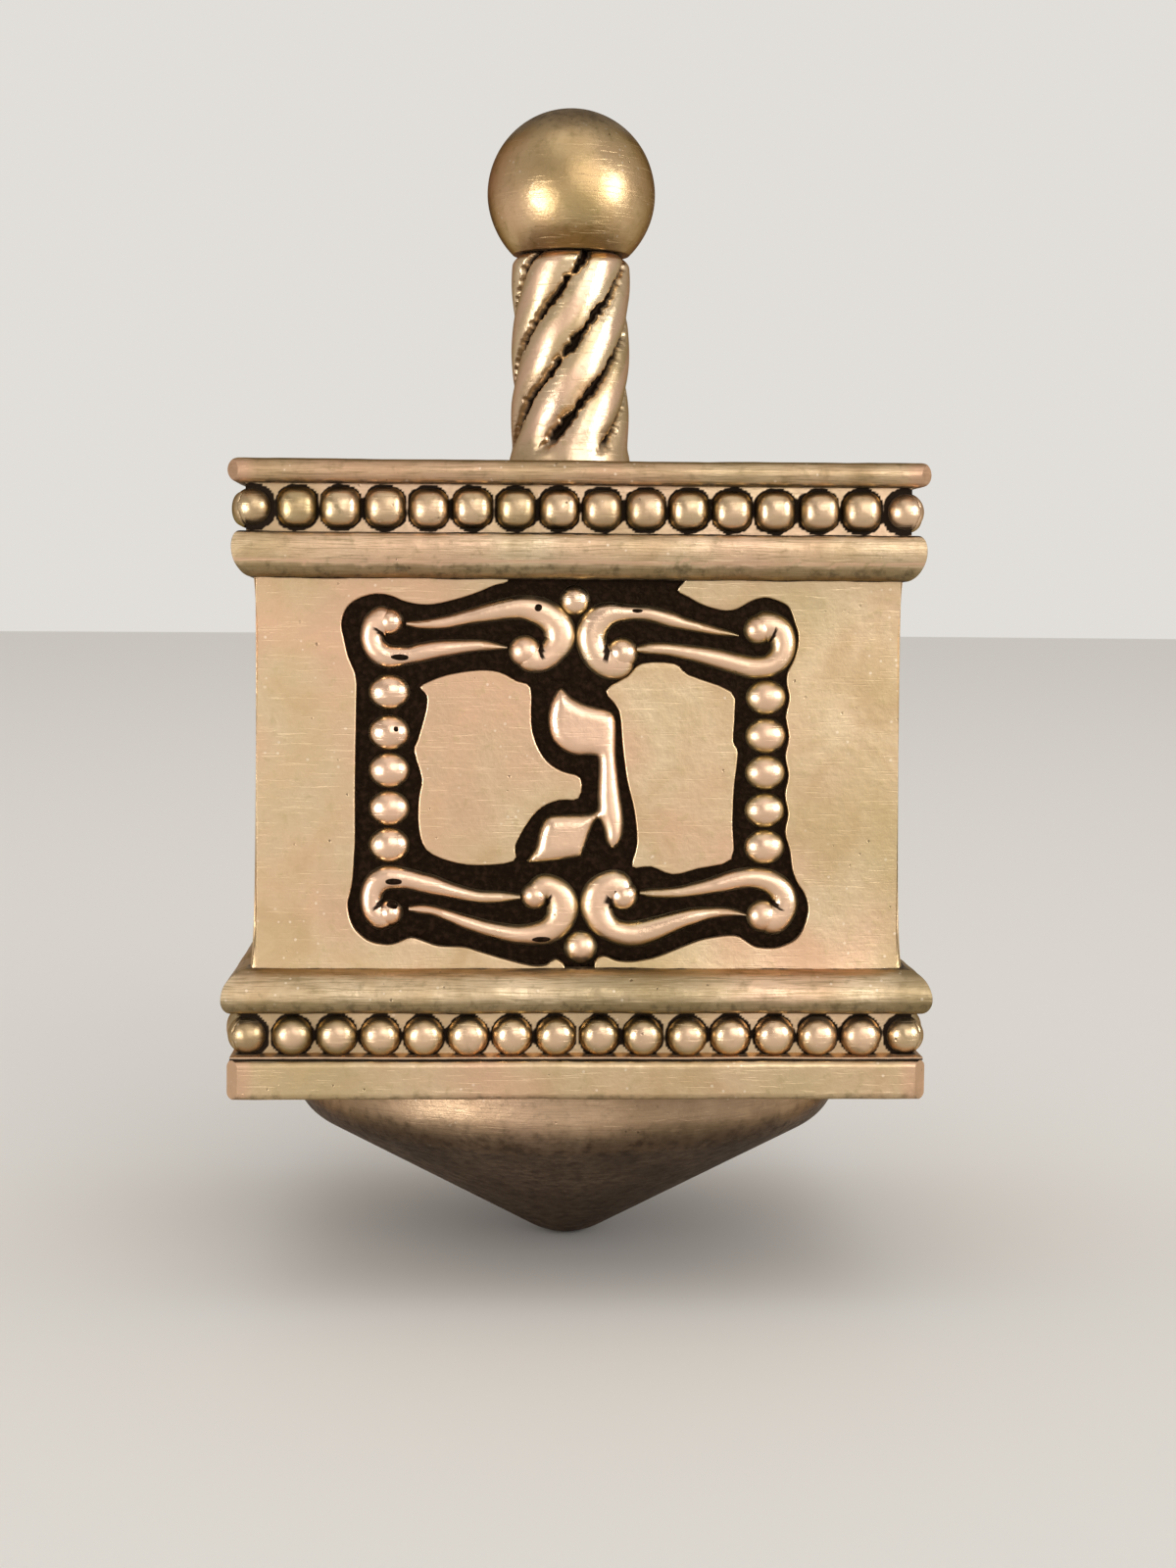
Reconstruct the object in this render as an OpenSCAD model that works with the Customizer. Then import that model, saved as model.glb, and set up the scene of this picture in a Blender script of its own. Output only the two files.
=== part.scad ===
// Four-sided metal spinning top: a square body of mitred cast panels under beaded and
// moulded trim, with a conical tip below and a twisted grip with a ball knob above.
// Millimetres, +Z up the spin axis, -Y is the front. The origin is the point of the tip.

/* [Body] */
// Width across the body at the middle of the panels
body_w = 45; // [36:0.5:60]
// How much wider the body is at the foot of the panels than at their head
body_spread = 0.6; // [0:0.1:1.2]
// How far each panel flares out at its head and its foot
body_flare = 0.25; // [0:0.05:0.6]
// Wall of the cast panels
panel_wall = 2.4; // [1.8:0.1:4]
// Height of panel that shows between the two mouldings
panel_show_h = 27.15; // [26:0.05:40]
// How far the panel is rebated behind the trim strips
trim_seat_step = 0.3; // [0.1:0.05:0.45]

/* [Mouldings] */
// How far the upper moulding stands out from the body
upper_moulding_out = 1.55; // [0.8:0.05:3]
// Height of the upper moulding
upper_moulding_h = 3.2; // [2:0.05:6]
// How far the lower moulding stands out from the body
lower_moulding_out = 2.275; // [1:0.025:4]
// Height of the lower moulding
lower_moulding_h = 3.05; // [2:0.05:6]

/* [Beading] */
// Beads on each strip
bead_count = 16; // [10:1:17]
// Diameter of an upper bead
upper_bead_d = 2.58; // [1.8:0.01:2.8]
// How far the upper beads stand out from the body
upper_bead_out = 1.88; // [1.6:0.01:3]
// Height of the upper beaded band
upper_band_h = 3.3; // [3:0.05:5]
// Diameter of a lower bead
lower_bead_d = 2.86; // [1.8:0.01:2.95]
// How far the lower beads stand out from the body
lower_bead_out = 2.45; // [1.8:0.01:4]
// Height of the lower beaded band
lower_band_h = 3.25; // [3.2:0.05:5]
// From the end of a strip's face to the middle of its last bead
bead_end_inset = 0.55; // [0.3:0.05:1.2]
// Height of the thin ledge under the lower beads
ledge_h = 0.4; // [0.2:0.05:0.6]
// How far that ledge stands out from the strip
ledge_out = 0.7; // [0.3:0.05:1]

/* [Plates] */
// How far the top plate's edge lies inside the upper beads
top_plate_inset = 0.08; // [0:0.01:0.6]
// Thickness of the top plate
top_plate_t = 1.7; // [1.2:0.05:3]
// How far the base plate's edge lies inside the lower beads
base_plate_inset = 0.5; // [0:0.05:0.9]
// Thickness of the base plate
base_plate_t = 2.8; // [2:0.05:5]
// Rounding along the base plate's edges
base_edge_r = 0.5; // [0.2:0.05:0.9]
// How much is cut off each corner of the plates
plate_corner_cut = 0.55; // [0.2:0.05:1]
// Height of the bosses that locate the panels on the plates
boss_h = 1.2; // [0.6:0.1:2]
// Play between a boss and the panels round it
boss_clearance = 0.05; // [0.02:0.01:0.2]

/* [Tip] */
// Height of the tip, from its point to the base plate
tip_h = 15.1; // [14.6:0.1:22]
// Radius of the rounded point
point_r = 6; // [3:0.1:8]
// How far the tip's shoulder lies inside the edge of the base plate
shoulder_inset = 3.15; // [2:0.05:6]
// Height of the straight band between the shoulder and the base plate
shoulder_band_h = 2.02; // [0.5:0.02:3]
// Radius of the rounded shoulder
shoulder_r = 3.5; // [1:0.1:5]
// Wall of the hollow tip
tip_wall = 2.2; // [1.5:0.1:3]
// How deep the tip's rim is let into the underside of the base plate
rim_seat_h = 0.4; // [0.2:0.05:0.8]
// How far the spigot that sits in the base plate lies inside the plate's boss
spigot_inset = 2.55; // [1.5:0.05:5]
// Wall of that spigot
spigot_wall = 2; // [1.2:0.1:3]
// Height of that spigot
spigot_h = 2; // [1:0.1:2.8]
// Play round the rim and the spigot in the base plate
spigot_clearance = 0.05; // [0.02:0.01:0.2]

/* [Stem] */
// Diameter of the twisted stem
stem_d = 9.16; // [7:0.02:12]
// Length of the stem between the top plate and the ball
stem_len = 17.1; // [15:0.1:30]
// Strands in the twist
strand_count = 6; // [4:1:8]
// Height in which a strand makes one full turn
strand_lead = 32.3; // [24:0.1:60]
// Depth of the grooves between the strands
groove_depth = 1.1; // [0.4:0.05:1.4]
// Height of the plain foot of the stem
foot_h = 1.8; // [1:0.1:4]
// How far the foot stands out beyond the strands
foot_step = 0.08; // [0.05:0.01:0.4]
// How far the foot flares out where it meets the plate
foot_flare = 0.25; // [0.1:0.05:1]

/* [Knob and fixings] */
// Diameter of the ball
ball_d = 13.06; // [12:0.02:18]
// Diameter of the dowel that holds the ball on the stem
dowel_d = 2.4; // [1.6:0.1:3]
// How deep the dowel goes into the stem
dowel_in_stem = 3.6; // [2:0.1:5]
// How deep the dowel goes into the ball
dowel_in_ball = 4.4; // [2:0.1:6]
// Diameter of the stud that holds the stem on the plate
stud_d = 3; // [2:0.1:3.5]
// How deep the stud goes into the stem
stud_in_stem = 6.5; // [4:0.1:8]
// Length of stud that stands out below the nut
stud_end = 0.8; // [0.3:0.1:2]
// Width of the nut across its flats
nut_flats = 5.5; // [5:0.1:7]
// Thickness of the nut
nut_t = 2.4; // [1.6:0.1:3.5]
// Diameter of the washer
washer_d = 7; // [6:0.1:10]
// Thickness of the washer
washer_t = 0.5; // [0.3:0.1:1]
// Play round the stud in the top plate and the washer
stud_hole_clearance = 0.2; // [0.05:0.05:0.5]
// Play left on threads and dowels, which hold by solder
thread_clearance = 0.02; // [0.01:0.01:0.05]

/* [Cartouche] */
// From the edge of the panel to the middle of a bead column
cartouche_side_margin = 9.2; // [8:0.1:11]
// From a moulding to the nearest edge of the sunk ground
ground_end_margin = 0.125; // [0.1:0.005:1.6]
// Depth of the sunk ground round the ornament
ground_depth = 0.75; // [0.4:0.05:1.2]
// Thickness of the black enamel on that ground
enamel_t = 0.35; // [0.2:0.05:0.38]
// How far the scrolls and the letter stand above the panel
relief_rise = 0.3; // [0.1:0.05:0.6]
// Gap left between neighbouring scrolls
scroll_gap = 0.6; // [0.4:0.05:1.2]
// Beads in each column at the sides of the cartouche
column_beads = 5; // [3:1:5]
// Gap between two beads of a column
column_gap = 0.25; // [0.15:0.01:0.6]
// Ground kept clear round each bead
bead_margin = 0.15; // [0.1:0.01:0.4]
// Diameter of the single beads at the top and the bottom
centre_bead_d = 2; // [1.4:0.05:2.3]

/* [Hidden] */

// Where a side faces, as an angle from the front
function facing(side) = side == "right" ? 90 : side == "back" ? 180 : side == "left" ? 270 : 0;

// Colours
silver = [0.72, 0.66, 0.55];
dark_silver = [0.55, 0.49, 0.4];
black = [0.1, 0.08, 0.07];
steel = [0.62, 0.63, 0.65];

// Heights of the joints, from the tip upwards
base_plate_top = tip_h + base_plate_t;
lower_band_top = base_plate_top + lower_band_h;
panel_show_bottom = lower_band_top + lower_moulding_h;
panel_show_top = panel_show_bottom + panel_show_h;
upper_moulding_top = panel_show_top + upper_moulding_h;
top_plate_bottom = upper_moulding_top + upper_band_h;
top_plate_top = top_plate_bottom + top_plate_t;
ball_seat = top_plate_top + stem_len;
cartouche_z = (panel_show_bottom + panel_show_top) / 2;

// Depths from the spin axis, outwards through a side
body_half = body_w / 2;
seat_half = body_half - trim_seat_step;
inner_half = body_half - panel_wall;
boss_half = inner_half - boss_clearance;
ground_half = body_half - ground_depth;
relief_half = body_half + relief_rise;
upper_bead_half = body_half + upper_bead_out;
lower_bead_half = body_half + lower_bead_out;
upper_wall_half = upper_bead_half - upper_bead_d / 2;
lower_wall_half = lower_bead_half - lower_bead_d / 2;
top_plate_w = 2 * (upper_bead_half - top_plate_inset);
base_plate_w = 2 * (lower_bead_half - base_plate_inset);
shoulder_half = base_plate_w / 2 - shoulder_inset;
spigot_half = boss_half - spigot_inset;

// Play left at the mitres, the reach of cuts past a face, and how far relief roots in a wall
mitre_gap = 0.02;
overrun = 1;
root_depth = 0.25;
reach = 2 * body_w + 2 * lower_bead_out;

// The panels' curve: the flare keeps to the ends, and the outline takes this many steps
flare_power = 6;
curve_steps = 14;
arc_steps = 8;

// The mouldings swell over this share of their height, and their lip turns in by this share
swell_share = 0.66;
lip_share = 0.4;

// Points round a strand's section and slices up the twist
strand_points = 10;
groove_power = 5;
slice_count = 30;

// Points on an arc of an ellipse
function arc(centre, radii, from, to, n) = [
    for (i = [0 : n])
        let (a = from + (to - from) * i / n)
        [centre[0] + radii[0] * cos(a), centre[1] + radii[1] * sin(a)]
];

// A smooth curve through points, each a list of numbers that are all blended alike
function blend(a, b, c, d, t) =
    (2 * b + (c - a) * t + (2 * a - 5 * b + 4 * c - d) * t * t + (3 * b - a - 3 * c + d) * t * t * t) / 2;
function smooth(p, n) = [
    for (i = [0 : len(p) - 2], k = [0 : n - 1])
        blend(p[max(i - 1, 0)], p[i], p[i + 1], p[min(i + 2, len(p) - 1)], k / n),
    p[len(p) - 1]
];

// The outline of a stroke that follows points of [x, y, half width]
function across(p, i) =
    let (d = p[min(i + 1, len(p) - 1)] - p[max(i - 1, 0)], s = norm([d[0], d[1]]))
    [-d[1] / s, d[0] / s];
function edge_point(p, i, side) = [p[i][0], p[i][1]] + side * p[i][2] * across(p, i);
function stroke_outline(p) = concat(
    [for (i = [0 : len(p) - 1]) edge_point(p, i, 1)],
    [for (i = [len(p) - 1 : -1 : 0]) edge_point(p, i, -1)]
);

// Shares of one size along each axis, as lengths
function sized(shares, w, h) = [for (s = shares) [s[0] * w, s[1] * h]];

// How far out the face of a panel lies at a height
function face_half(z) =
    let (t = (cartouche_z - z) / (panel_show_h / 2))
    body_half + body_spread / 4 * t + body_flare * pow(abs(t), flare_power);

// Placing one side's piece, and the mitred space that it may fill
module on_side(side) {
    rotate([0, 0, facing(side)])
        children();
}

module mitred() {
    intersection() {
        children();
        translate([0, -mitre_gap, -overrun])
            linear_extrude(top_plate_top + 2 * overrun)
                polygon([[0, 0], [-reach, -reach], [reach, -reach]]);
    }
}

// A profile of [out, up] points drawn along a side, mitred at both ends
module strip(profile) {
    mitred()
        translate([-reach / 2, 0, 0])
            rotate([90, 0, 90])
                linear_extrude(reach)
                    polygon([for (p = profile) [-p[0], p[1]]]);
}

// A flat shape in the panel's plane, standing out from one depth to another
module on_face(from, to) {
    translate([0, -from, cartouche_z])
        rotate([90, 0, 0])
            linear_extrude(to - from)
                children();
}

// Edge profiles of the two plates, and a plate made of one
module bullnose_section(w, t) {
    square([w - t, t], center = true);
    for (side = [-1, 1])
        translate([side * (w - t) / 2, 0])
            circle(d = t, $fn = 48);
}

module eased_section(w, t, r) {
    square([w - 2 * r, t], center = true);
    square([w, t - 2 * r], center = true);
    for (side = [-1, 1], level = [-1, 1])
        translate([side * (w / 2 - r), level * (t / 2 - r)])
            circle(r = r, $fn = 32);
}

module both_ways(w) {
    intersection() {
        rotate([90, 0, 0])
            linear_extrude(2 * w, center = true)
                children();
        rotate([90, 0, 90])
            linear_extrude(2 * w, center = true)
                children();
        rotate([0, 0, 45])
            cube([w * sqrt(2) - 2 * plate_corner_cut, w * sqrt(2) - 2 * plate_corner_cut, 2 * w], center = true);
    }
}

// Plates
module top_plate() {
    color(silver)
    difference() {
        union() {
            translate([0, 0, top_plate_bottom + top_plate_t / 2])
                both_ways(top_plate_w)
                    bullnose_section(top_plate_w, top_plate_t);
            translate([-boss_half, -boss_half, top_plate_bottom - boss_h])
                cube([2 * boss_half, 2 * boss_half, boss_h + top_plate_t / 2]);
        }
        translate([0, 0, top_plate_bottom - boss_h - overrun])
            cylinder(d = stud_d + 2 * stud_hole_clearance, h = boss_h + top_plate_t + 2 * overrun, $fn = 48);
    }
}

module base_plate() {
    color(silver)
    difference() {
        union() {
            translate([0, 0, tip_h + base_plate_t / 2])
                both_ways(base_plate_w)
                    eased_section(base_plate_w, base_plate_t, base_edge_r);
            translate([-boss_half, -boss_half, tip_h + base_plate_t / 2])
                cube([2 * boss_half, 2 * boss_half, base_plate_t / 2 + boss_h]);
        }
        translate([0, 0, tip_h - overrun])
            cylinder(r = spigot_half + spigot_clearance, h = base_plate_t + boss_h + 2 * overrun, $fn = 96);
        translate([0, 0, tip_h - overrun])
            cylinder(r = shoulder_half + spigot_clearance, h = rim_seat_h + overrun, $fn = 96);
    }
}

// The tip: a rounded point, a straight cone and a rounded shoulder, hollow inside. The
// cone is the line that touches the round of the point and the round of the shoulder.
shoulder_in = shoulder_half - shoulder_r;
shoulder_z = tip_h - shoulder_band_h;
round_distance = norm([shoulder_in, shoulder_z - point_r]);
cone_slope = atan2(shoulder_z - point_r, shoulder_in) + asin((point_r - shoulder_r) / round_distance);
apex_z = point_r - point_r / cos(cone_slope);
hollow_apex_z = apex_z + tip_wall / cos(cone_slope);
hollow_r = spigot_half - spigot_wall;

module tip_cone() {
    outline = concat(
        arc([0, point_r], [point_r, point_r], -90, cone_slope - 90, arc_steps),
        arc([shoulder_in, shoulder_z], [shoulder_r, shoulder_r], cone_slope - 90, 0, arc_steps),
        [
            [shoulder_half, tip_h + rim_seat_h],
            [spigot_half, tip_h + rim_seat_h],
            [spigot_half, tip_h + spigot_h],
            [hollow_r, tip_h + spigot_h],
            [hollow_r, hollow_apex_z + hollow_r * tan(cone_slope)],
            [0, hollow_apex_z]
        ]
    );
    color(dark_silver)
    rotate_extrude($fn = 120)
        polygon(outline);
}

// The stem: a plain flared foot that runs into twisted strands, bored at both ends
stem_r = stem_d / 2;
stem_points = strand_count * strand_points;
function strand_edge(i) =
    let (t = abs((i % strand_points) / strand_points - 0.5) * 2)
    stem_r - groove_depth * pow(t, groove_power);

module strand_section() {
    polygon([
        for (i = [0 : stem_points - 1])
            let (a = 360 * i / stem_points)
            [strand_edge(i) * cos(a), strand_edge(i) * sin(a)]
    ]);
}

module twisted_stem() {
    twist_from = top_plate_top + foot_h;
    foot_r = stem_r + foot_step;
    foot_curve = arc([foot_r + foot_flare, top_plate_top + foot_h],
        [foot_flare, foot_h], 180, 270, arc_steps);
    color(silver)
    difference() {
        union() {
            rotate_extrude($fn = 96)
                polygon(concat([[0, top_plate_top + foot_h]], foot_curve, [[0, top_plate_top]]));
            translate([0, 0, twist_from])
                linear_extrude(ball_seat - twist_from, twist = -360 * (ball_seat - twist_from) / strand_lead,
                    slices = slice_count)
                    strand_section();
        }
        translate([0, 0, top_plate_top - overrun])
            cylinder(d = stud_d + 2 * thread_clearance, h = stud_in_stem + overrun, $fn = 48);
        translate([0, 0, ball_seat - dowel_in_stem])
            cylinder(d = dowel_d + 2 * thread_clearance, h = dowel_in_stem + overrun, $fn = 48);
    }
}

// The ball is flattened where it sits on the stem, and bored for its dowel
ball_z = ball_seat + sqrt(ball_d * ball_d - stem_d * stem_d) / 2;

module ball_knob() {
    color(dark_silver)
    difference() {
        translate([0, 0, ball_z])
            sphere(d = ball_d, $fn = 96);
        translate([0, 0, ball_seat - ball_d])
            cylinder(r = ball_d, h = ball_d, $fn = 48);
        translate([0, 0, ball_seat - overrun])
            cylinder(d = dowel_d + 2 * thread_clearance, h = dowel_in_ball + overrun, $fn = 48);
    }
}

// Fixings inside: a dowel under the ball, and a stud, washer and nut under the top plate
washer_top = top_plate_bottom - boss_h;
nut_top = washer_top - washer_t;
stud_bottom = nut_top - nut_t - stud_end;

module ball_dowel() {
    color(steel)
    translate([0, 0, ball_seat - dowel_in_stem])
        cylinder(d = dowel_d, h = dowel_in_stem + dowel_in_ball, $fn = 48);
}

module stem_stud() {
    color(steel)
    translate([0, 0, stud_bottom])
        cylinder(d = stud_d, h = top_plate_top + stud_in_stem - stud_bottom, $fn = 48);
}

module stem_washer() {
    color(steel)
    translate([0, 0, nut_top])
        difference() {
            cylinder(d = washer_d, h = washer_t, $fn = 64);
            translate([0, 0, -overrun])
                cylinder(d = stud_d + 2 * stud_hole_clearance, h = washer_t + 2 * overrun, $fn = 48);
        }
}

module stem_nut() {
    color(steel)
    translate([0, 0, nut_top - nut_t])
        difference() {
            cylinder(d = nut_flats / cos(30), h = nut_t, $fn = 6);
            translate([0, 0, -overrun])
                cylinder(d = stud_d + 2 * thread_clearance, h = nut_t + 2 * overrun, $fn = 48);
        }
}

// Mouldings: a swelling that grows out of the panel and turns in under a lip.
// Up is +1 where the lip is at the top and -1 where it is at the bottom.
module moulding(panel_edge, up, h, crest, face) {
    out = crest - face;
    swell_h = h * swell_share;
    lip_h = h - swell_h;
    swell = arc([face, swell_h], [out, swell_h], -90, 0, arc_steps);
    lip = arc([crest - out * lip_share, swell_h], [out * lip_share, lip_h], 0, 90, arc_steps);
    profile = concat([[seat_half, 0]], swell, lip, [[seat_half, h]]);
    color(silver)
    strip([for (p = profile) [p[0], panel_edge + up * p[1]]]);
}

module upper_moulding(side) {
    on_side(side)
        moulding(panel_show_top, 1, upper_moulding_h, body_half + upper_moulding_out, face_half(panel_show_top));
}

module lower_moulding(side) {
    on_side(side)
        moulding(panel_show_bottom, -1, lower_moulding_h, body_half + lower_moulding_out, face_half(panel_show_bottom));
}

// Beaded strips: a flat wall with a row of half-sunk beads
module bead_row(wall_half, bead_d, z) {
    pitch = 2 * (wall_half - bead_end_inset) / (bead_count - 1);
    mitred()
        for (i = [0 : bead_count - 1])
            translate([(i - (bead_count - 1) / 2) * pitch, -wall_half, z])
                sphere(d = bead_d, $fn = 32);
}

module upper_beading(side) {
    on_side(side)
    color(silver) {
        strip([
            [seat_half, upper_moulding_top],
            [upper_wall_half, upper_moulding_top],
            [upper_wall_half, top_plate_bottom],
            [seat_half, top_plate_bottom]
        ]);
        bead_row(upper_wall_half, upper_bead_d, (upper_moulding_top + top_plate_bottom) / 2);
    }
}

module lower_beading(side) {
    on_side(side)
    color(silver) {
        strip([
            [seat_half, base_plate_top],
            [lower_wall_half + ledge_out, base_plate_top],
            [lower_wall_half + ledge_out, base_plate_top + ledge_h / 2],
            [lower_wall_half, base_plate_top + ledge_h],
            [lower_wall_half, lower_band_top],
            [seat_half, lower_band_top]
        ]);
        bead_row(lower_wall_half, lower_bead_d, (base_plate_top + lower_band_top) / 2);
    }
}

// The cartouche, in shares of its half width and half height. The sunk ground has one edge
// up its left side and one down its right, and runs out at the mouldings between them.
left_edge_shares = [
    [-0.079, -1.096], [-0.115, -1.072], [-0.146, -1.089], [-0.173, -1.107], [-0.224, -1.112],
    [-0.285, -1.1], [-0.358, -1.08], [-0.443, -1.054], [-0.528, -1.026], [-0.6, -1.003],
    [-0.734, -0.996], [-0.807, -0.969], [-0.879, -0.947], [-0.94, -0.974], [-1, -0.989],
    [-1.086, -0.974], [-1.14, -0.936], [-1.183, -0.883], [-1.205, -0.817], [-1.211, -0.75],
    [-1.201, -0.697], [-1.185, -0.603], [-1.177, -0.455], [-1.173, -0.372], [-1.173, 0],
    [-1.165, 0.521], [-1.173, 0.579], [-1.211, 0.678], [-1.233, 0.785], [-1.244, 0.851],
    [-1.233, 0.917], [-1.203, 0.971], [-1.143, 1.012], [-1.068, 1.033], [-0.992, 1.025],
    [-0.902, 0.987], [-0.794, 0.973], [-0.684, 0.994], [-0.564, 1.033], [-0.444, 1.088],
    [-0.382, 1.103]
];
right_edge_shares = [
    [0.549, 1.107], [0.511, 1.066], [0.571, 1.026], [0.631, 0.99], [0.692, 0.966], [0.765, 0.95],
    [0.825, 0.96], [0.886, 0.997], [0.935, 1.02], [0.983, 1.026], [1.032, 1.013], [1.08, 0.99],
    [1.108, 0.959], [1.135, 0.877], [1.153, 0.811], [1.147, 0.731], [1.128, 0.664], [1.098, 0.598],
    [1.094, 0.529], [1.109, 0.446], [1.09, 0.339], [1.109, 0.223], [1.09, 0.112], [1.109, 0],
    [1.09, -0.112], [1.109, -0.223], [1.094, -0.331], [1.12, -0.438], [1.135, -0.55],
    [1.165, -0.63], [1.201, -0.69], [1.22, -0.763], [1.214, -0.83], [1.189, -0.909],
    [1.153, -0.959], [1.104, -0.988], [1.05, -1.006], [0.983, -1.006], [0.935, -0.996],
    [0.886, -0.963], [0.85, -0.939], [0.801, -0.934], [0.728, -0.943], [0.643, -0.963],
    [0.546, -1.003], [0.425, -1.056], [0.352, -1.076], [0.28, -1.087], [0.207, -1.08],
    [0.15, -1.056], [0.113, -1.062], [0.09, -1.091]
];

// Scroll strokes, drawn by hand and so each a little different: a round head first, then the
// stroke to its thin end, as [x share, y share, share of the scroll's half width]
top_left_outer_shares = [
    [-0.992, 0.876, 0.78], [-1.026, 0.878, 0.74], [-1.064, 0.86, 0.66], [-1.086, 0.814, 0.56],
    [-1.085, 0.764, 0.55], [-1.064, 0.717, 0.58], [-1.029, 0.686, 0.6], [-0.985, 0.674, 0.58],
    [-0.891, 0.683, 0.48], [-0.831, 0.698, 0.5], [-0.746, 0.717, 0.48], [-0.661, 0.728, 0.42],
    [-0.588, 0.736, 0.36], [-0.515, 0.741, 0.31], [-0.443, 0.737, 0.21], [-0.38, 0.731, 0.04]
];
top_left_inner_shares = [
    [-0.287, 0.711, 0.92], [-0.256, 0.678, 0.72], [-0.216, 0.661, 0.62], [-0.169, 0.682, 0.63],
    [-0.133, 0.72, 0.66], [-0.109, 0.76, 0.74], [-0.103, 0.804, 0.8], [-0.117, 0.86, 0.79],
    [-0.158, 0.909, 0.76], [-0.218, 0.944, 0.72], [-0.282, 0.959, 0.66], [-0.346, 0.959, 0.6],
    [-0.467, 0.934, 0.52], [-0.588, 0.904, 0.4], [-0.71, 0.873, 0.35], [-0.831, 0.86, 0.25],
    [-0.906, 0.865, 0.13]
];
top_right_outer_shares = [
    [0.94, 0.843, 0.85], [0.974, 0.858, 0.76], [1.015, 0.86, 0.7], [1.056, 0.833, 0.66],
    [1.075, 0.777, 0.63], [1.073, 0.723, 0.62], [1.053, 0.678, 0.61], [1.019, 0.645, 0.59],
    [0.977, 0.628, 0.57], [0.91, 0.625, 0.58], [0.838, 0.642, 0.55], [0.728, 0.674, 0.52],
    [0.607, 0.702, 0.43], [0.486, 0.723, 0.36], [0.425, 0.729, 0.35], [0.365, 0.729, 0.31],
    [0.301, 0.726, 0.17]
];
top_right_inner_shares = [
    [0.226, 0.702, 0.92], [0.203, 0.665, 0.9], [0.162, 0.65, 0.84], [0.113, 0.669, 0.74],
    [0.075, 0.719, 0.72], [0.06, 0.793, 0.76], [0.079, 0.864, 0.76], [0.122, 0.911, 0.7],
    [0.17, 0.931, 0.58], [0.233, 0.936, 0.45], [0.304, 0.935, 0.38], [0.376, 0.928, 0.4],
    [0.486, 0.895, 0.42], [0.546, 0.875, 0.34], [0.668, 0.845, 0.27], [0.728, 0.831, 0.21],
    [0.789, 0.819, 0.14], [0.837, 0.807, 0.03]
];
bottom_left_outer_shares = [
    [-0.992, -0.81, 0.78], [-1.032, -0.831, 0.64], [-1.069, -0.806, 0.58], [-1.088, -0.752, 0.55],
    [-1.086, -0.694, 0.56], [-1.064, -0.64, 0.6], [-1.023, -0.609, 0.62], [-0.97, -0.603, 0.6],
    [-0.891, -0.614, 0.54], [-0.831, -0.631, 0.52], [-0.77, -0.646, 0.52], [-0.71, -0.664, 0.45],
    [-0.649, -0.683, 0.4], [-0.54, -0.71, 0.35], [-0.467, -0.715, 0.34], [-0.394, -0.714, 0.3],
    [-0.305, -0.713, 0.15]
];
bottom_left_inner_shares = [
    [-0.229, -0.707, 0.8], [-0.188, -0.657, 0.6], [-0.139, -0.66, 0.6], [-0.098, -0.702, 0.72],
    [-0.079, -0.773, 0.8], [-0.098, -0.851, 0.74], [-0.15, -0.909, 0.68], [-0.224, -0.931, 0.58],
    [-0.285, -0.934, 0.51], [-0.346, -0.93, 0.48], [-0.467, -0.902, 0.42], [-0.588, -0.862, 0.38],
    [-0.649, -0.837, 0.33], [-0.71, -0.814, 0.3], [-0.77, -0.793, 0.27], [-0.831, -0.786, 0.26],
    [-0.891, -0.783, 0.15]
];
bottom_right_outer_shares = [
    [0.981, -0.822, 0.95], [1.034, -0.839, 0.78], [1.075, -0.81, 0.7], [1.098, -0.752, 0.66],
    [1.09, -0.698, 0.64], [1.064, -0.657, 0.62], [1.023, -0.624, 0.6], [0.97, -0.606, 0.56],
    [0.91, -0.6, 0.53], [0.838, -0.611, 0.52], [0.765, -0.631, 0.48], [0.692, -0.651, 0.41],
    [0.619, -0.668, 0.37], [0.546, -0.683, 0.32], [0.462, -0.69, 0.28], [0.389, -0.69, 0.25],
    [0.328, -0.687, 0.12]
];
bottom_right_inner_shares = [
    [0.241, -0.707, 0.87], [0.207, -0.651, 0.76], [0.147, -0.66, 0.75], [0.111, -0.702, 0.82],
    [0.099, -0.773, 0.82], [0.126, -0.851, 0.72], [0.18, -0.903, 0.62], [0.243, -0.927, 0.64],
    [0.304, -0.931, 0.68], [0.365, -0.917, 0.66], [0.425, -0.895, 0.63], [0.546, -0.846, 0.5],
    [0.619, -0.825, 0.45], [0.692, -0.808, 0.34], [0.765, -0.801, 0.27], [0.838, -0.805, 0.18],
    [0.892, -0.817, 0.03]
];
scroll_smoothing = 3;

// The middle lines of two scrolls side by side, and of two strokes one above the other, lie at
// least these shares of the half width and the half height apart. A scroll is there this share
// of its full width.
scroll_room_w_share = 0.163;
scroll_room_h_share = 0.18;
scroll_full_share = 0.78;

// How far up and down the sunk ground reaches
ground_reach_share = 1.112;

// The pitch and the middle of a bead column, and the single beads at the top and the bottom
column_pitch_share = 0.221;
column_middle_share = 0.018;
centre_bead_shares = [[-0.025, 1], [0.017, -1.01]];

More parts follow.
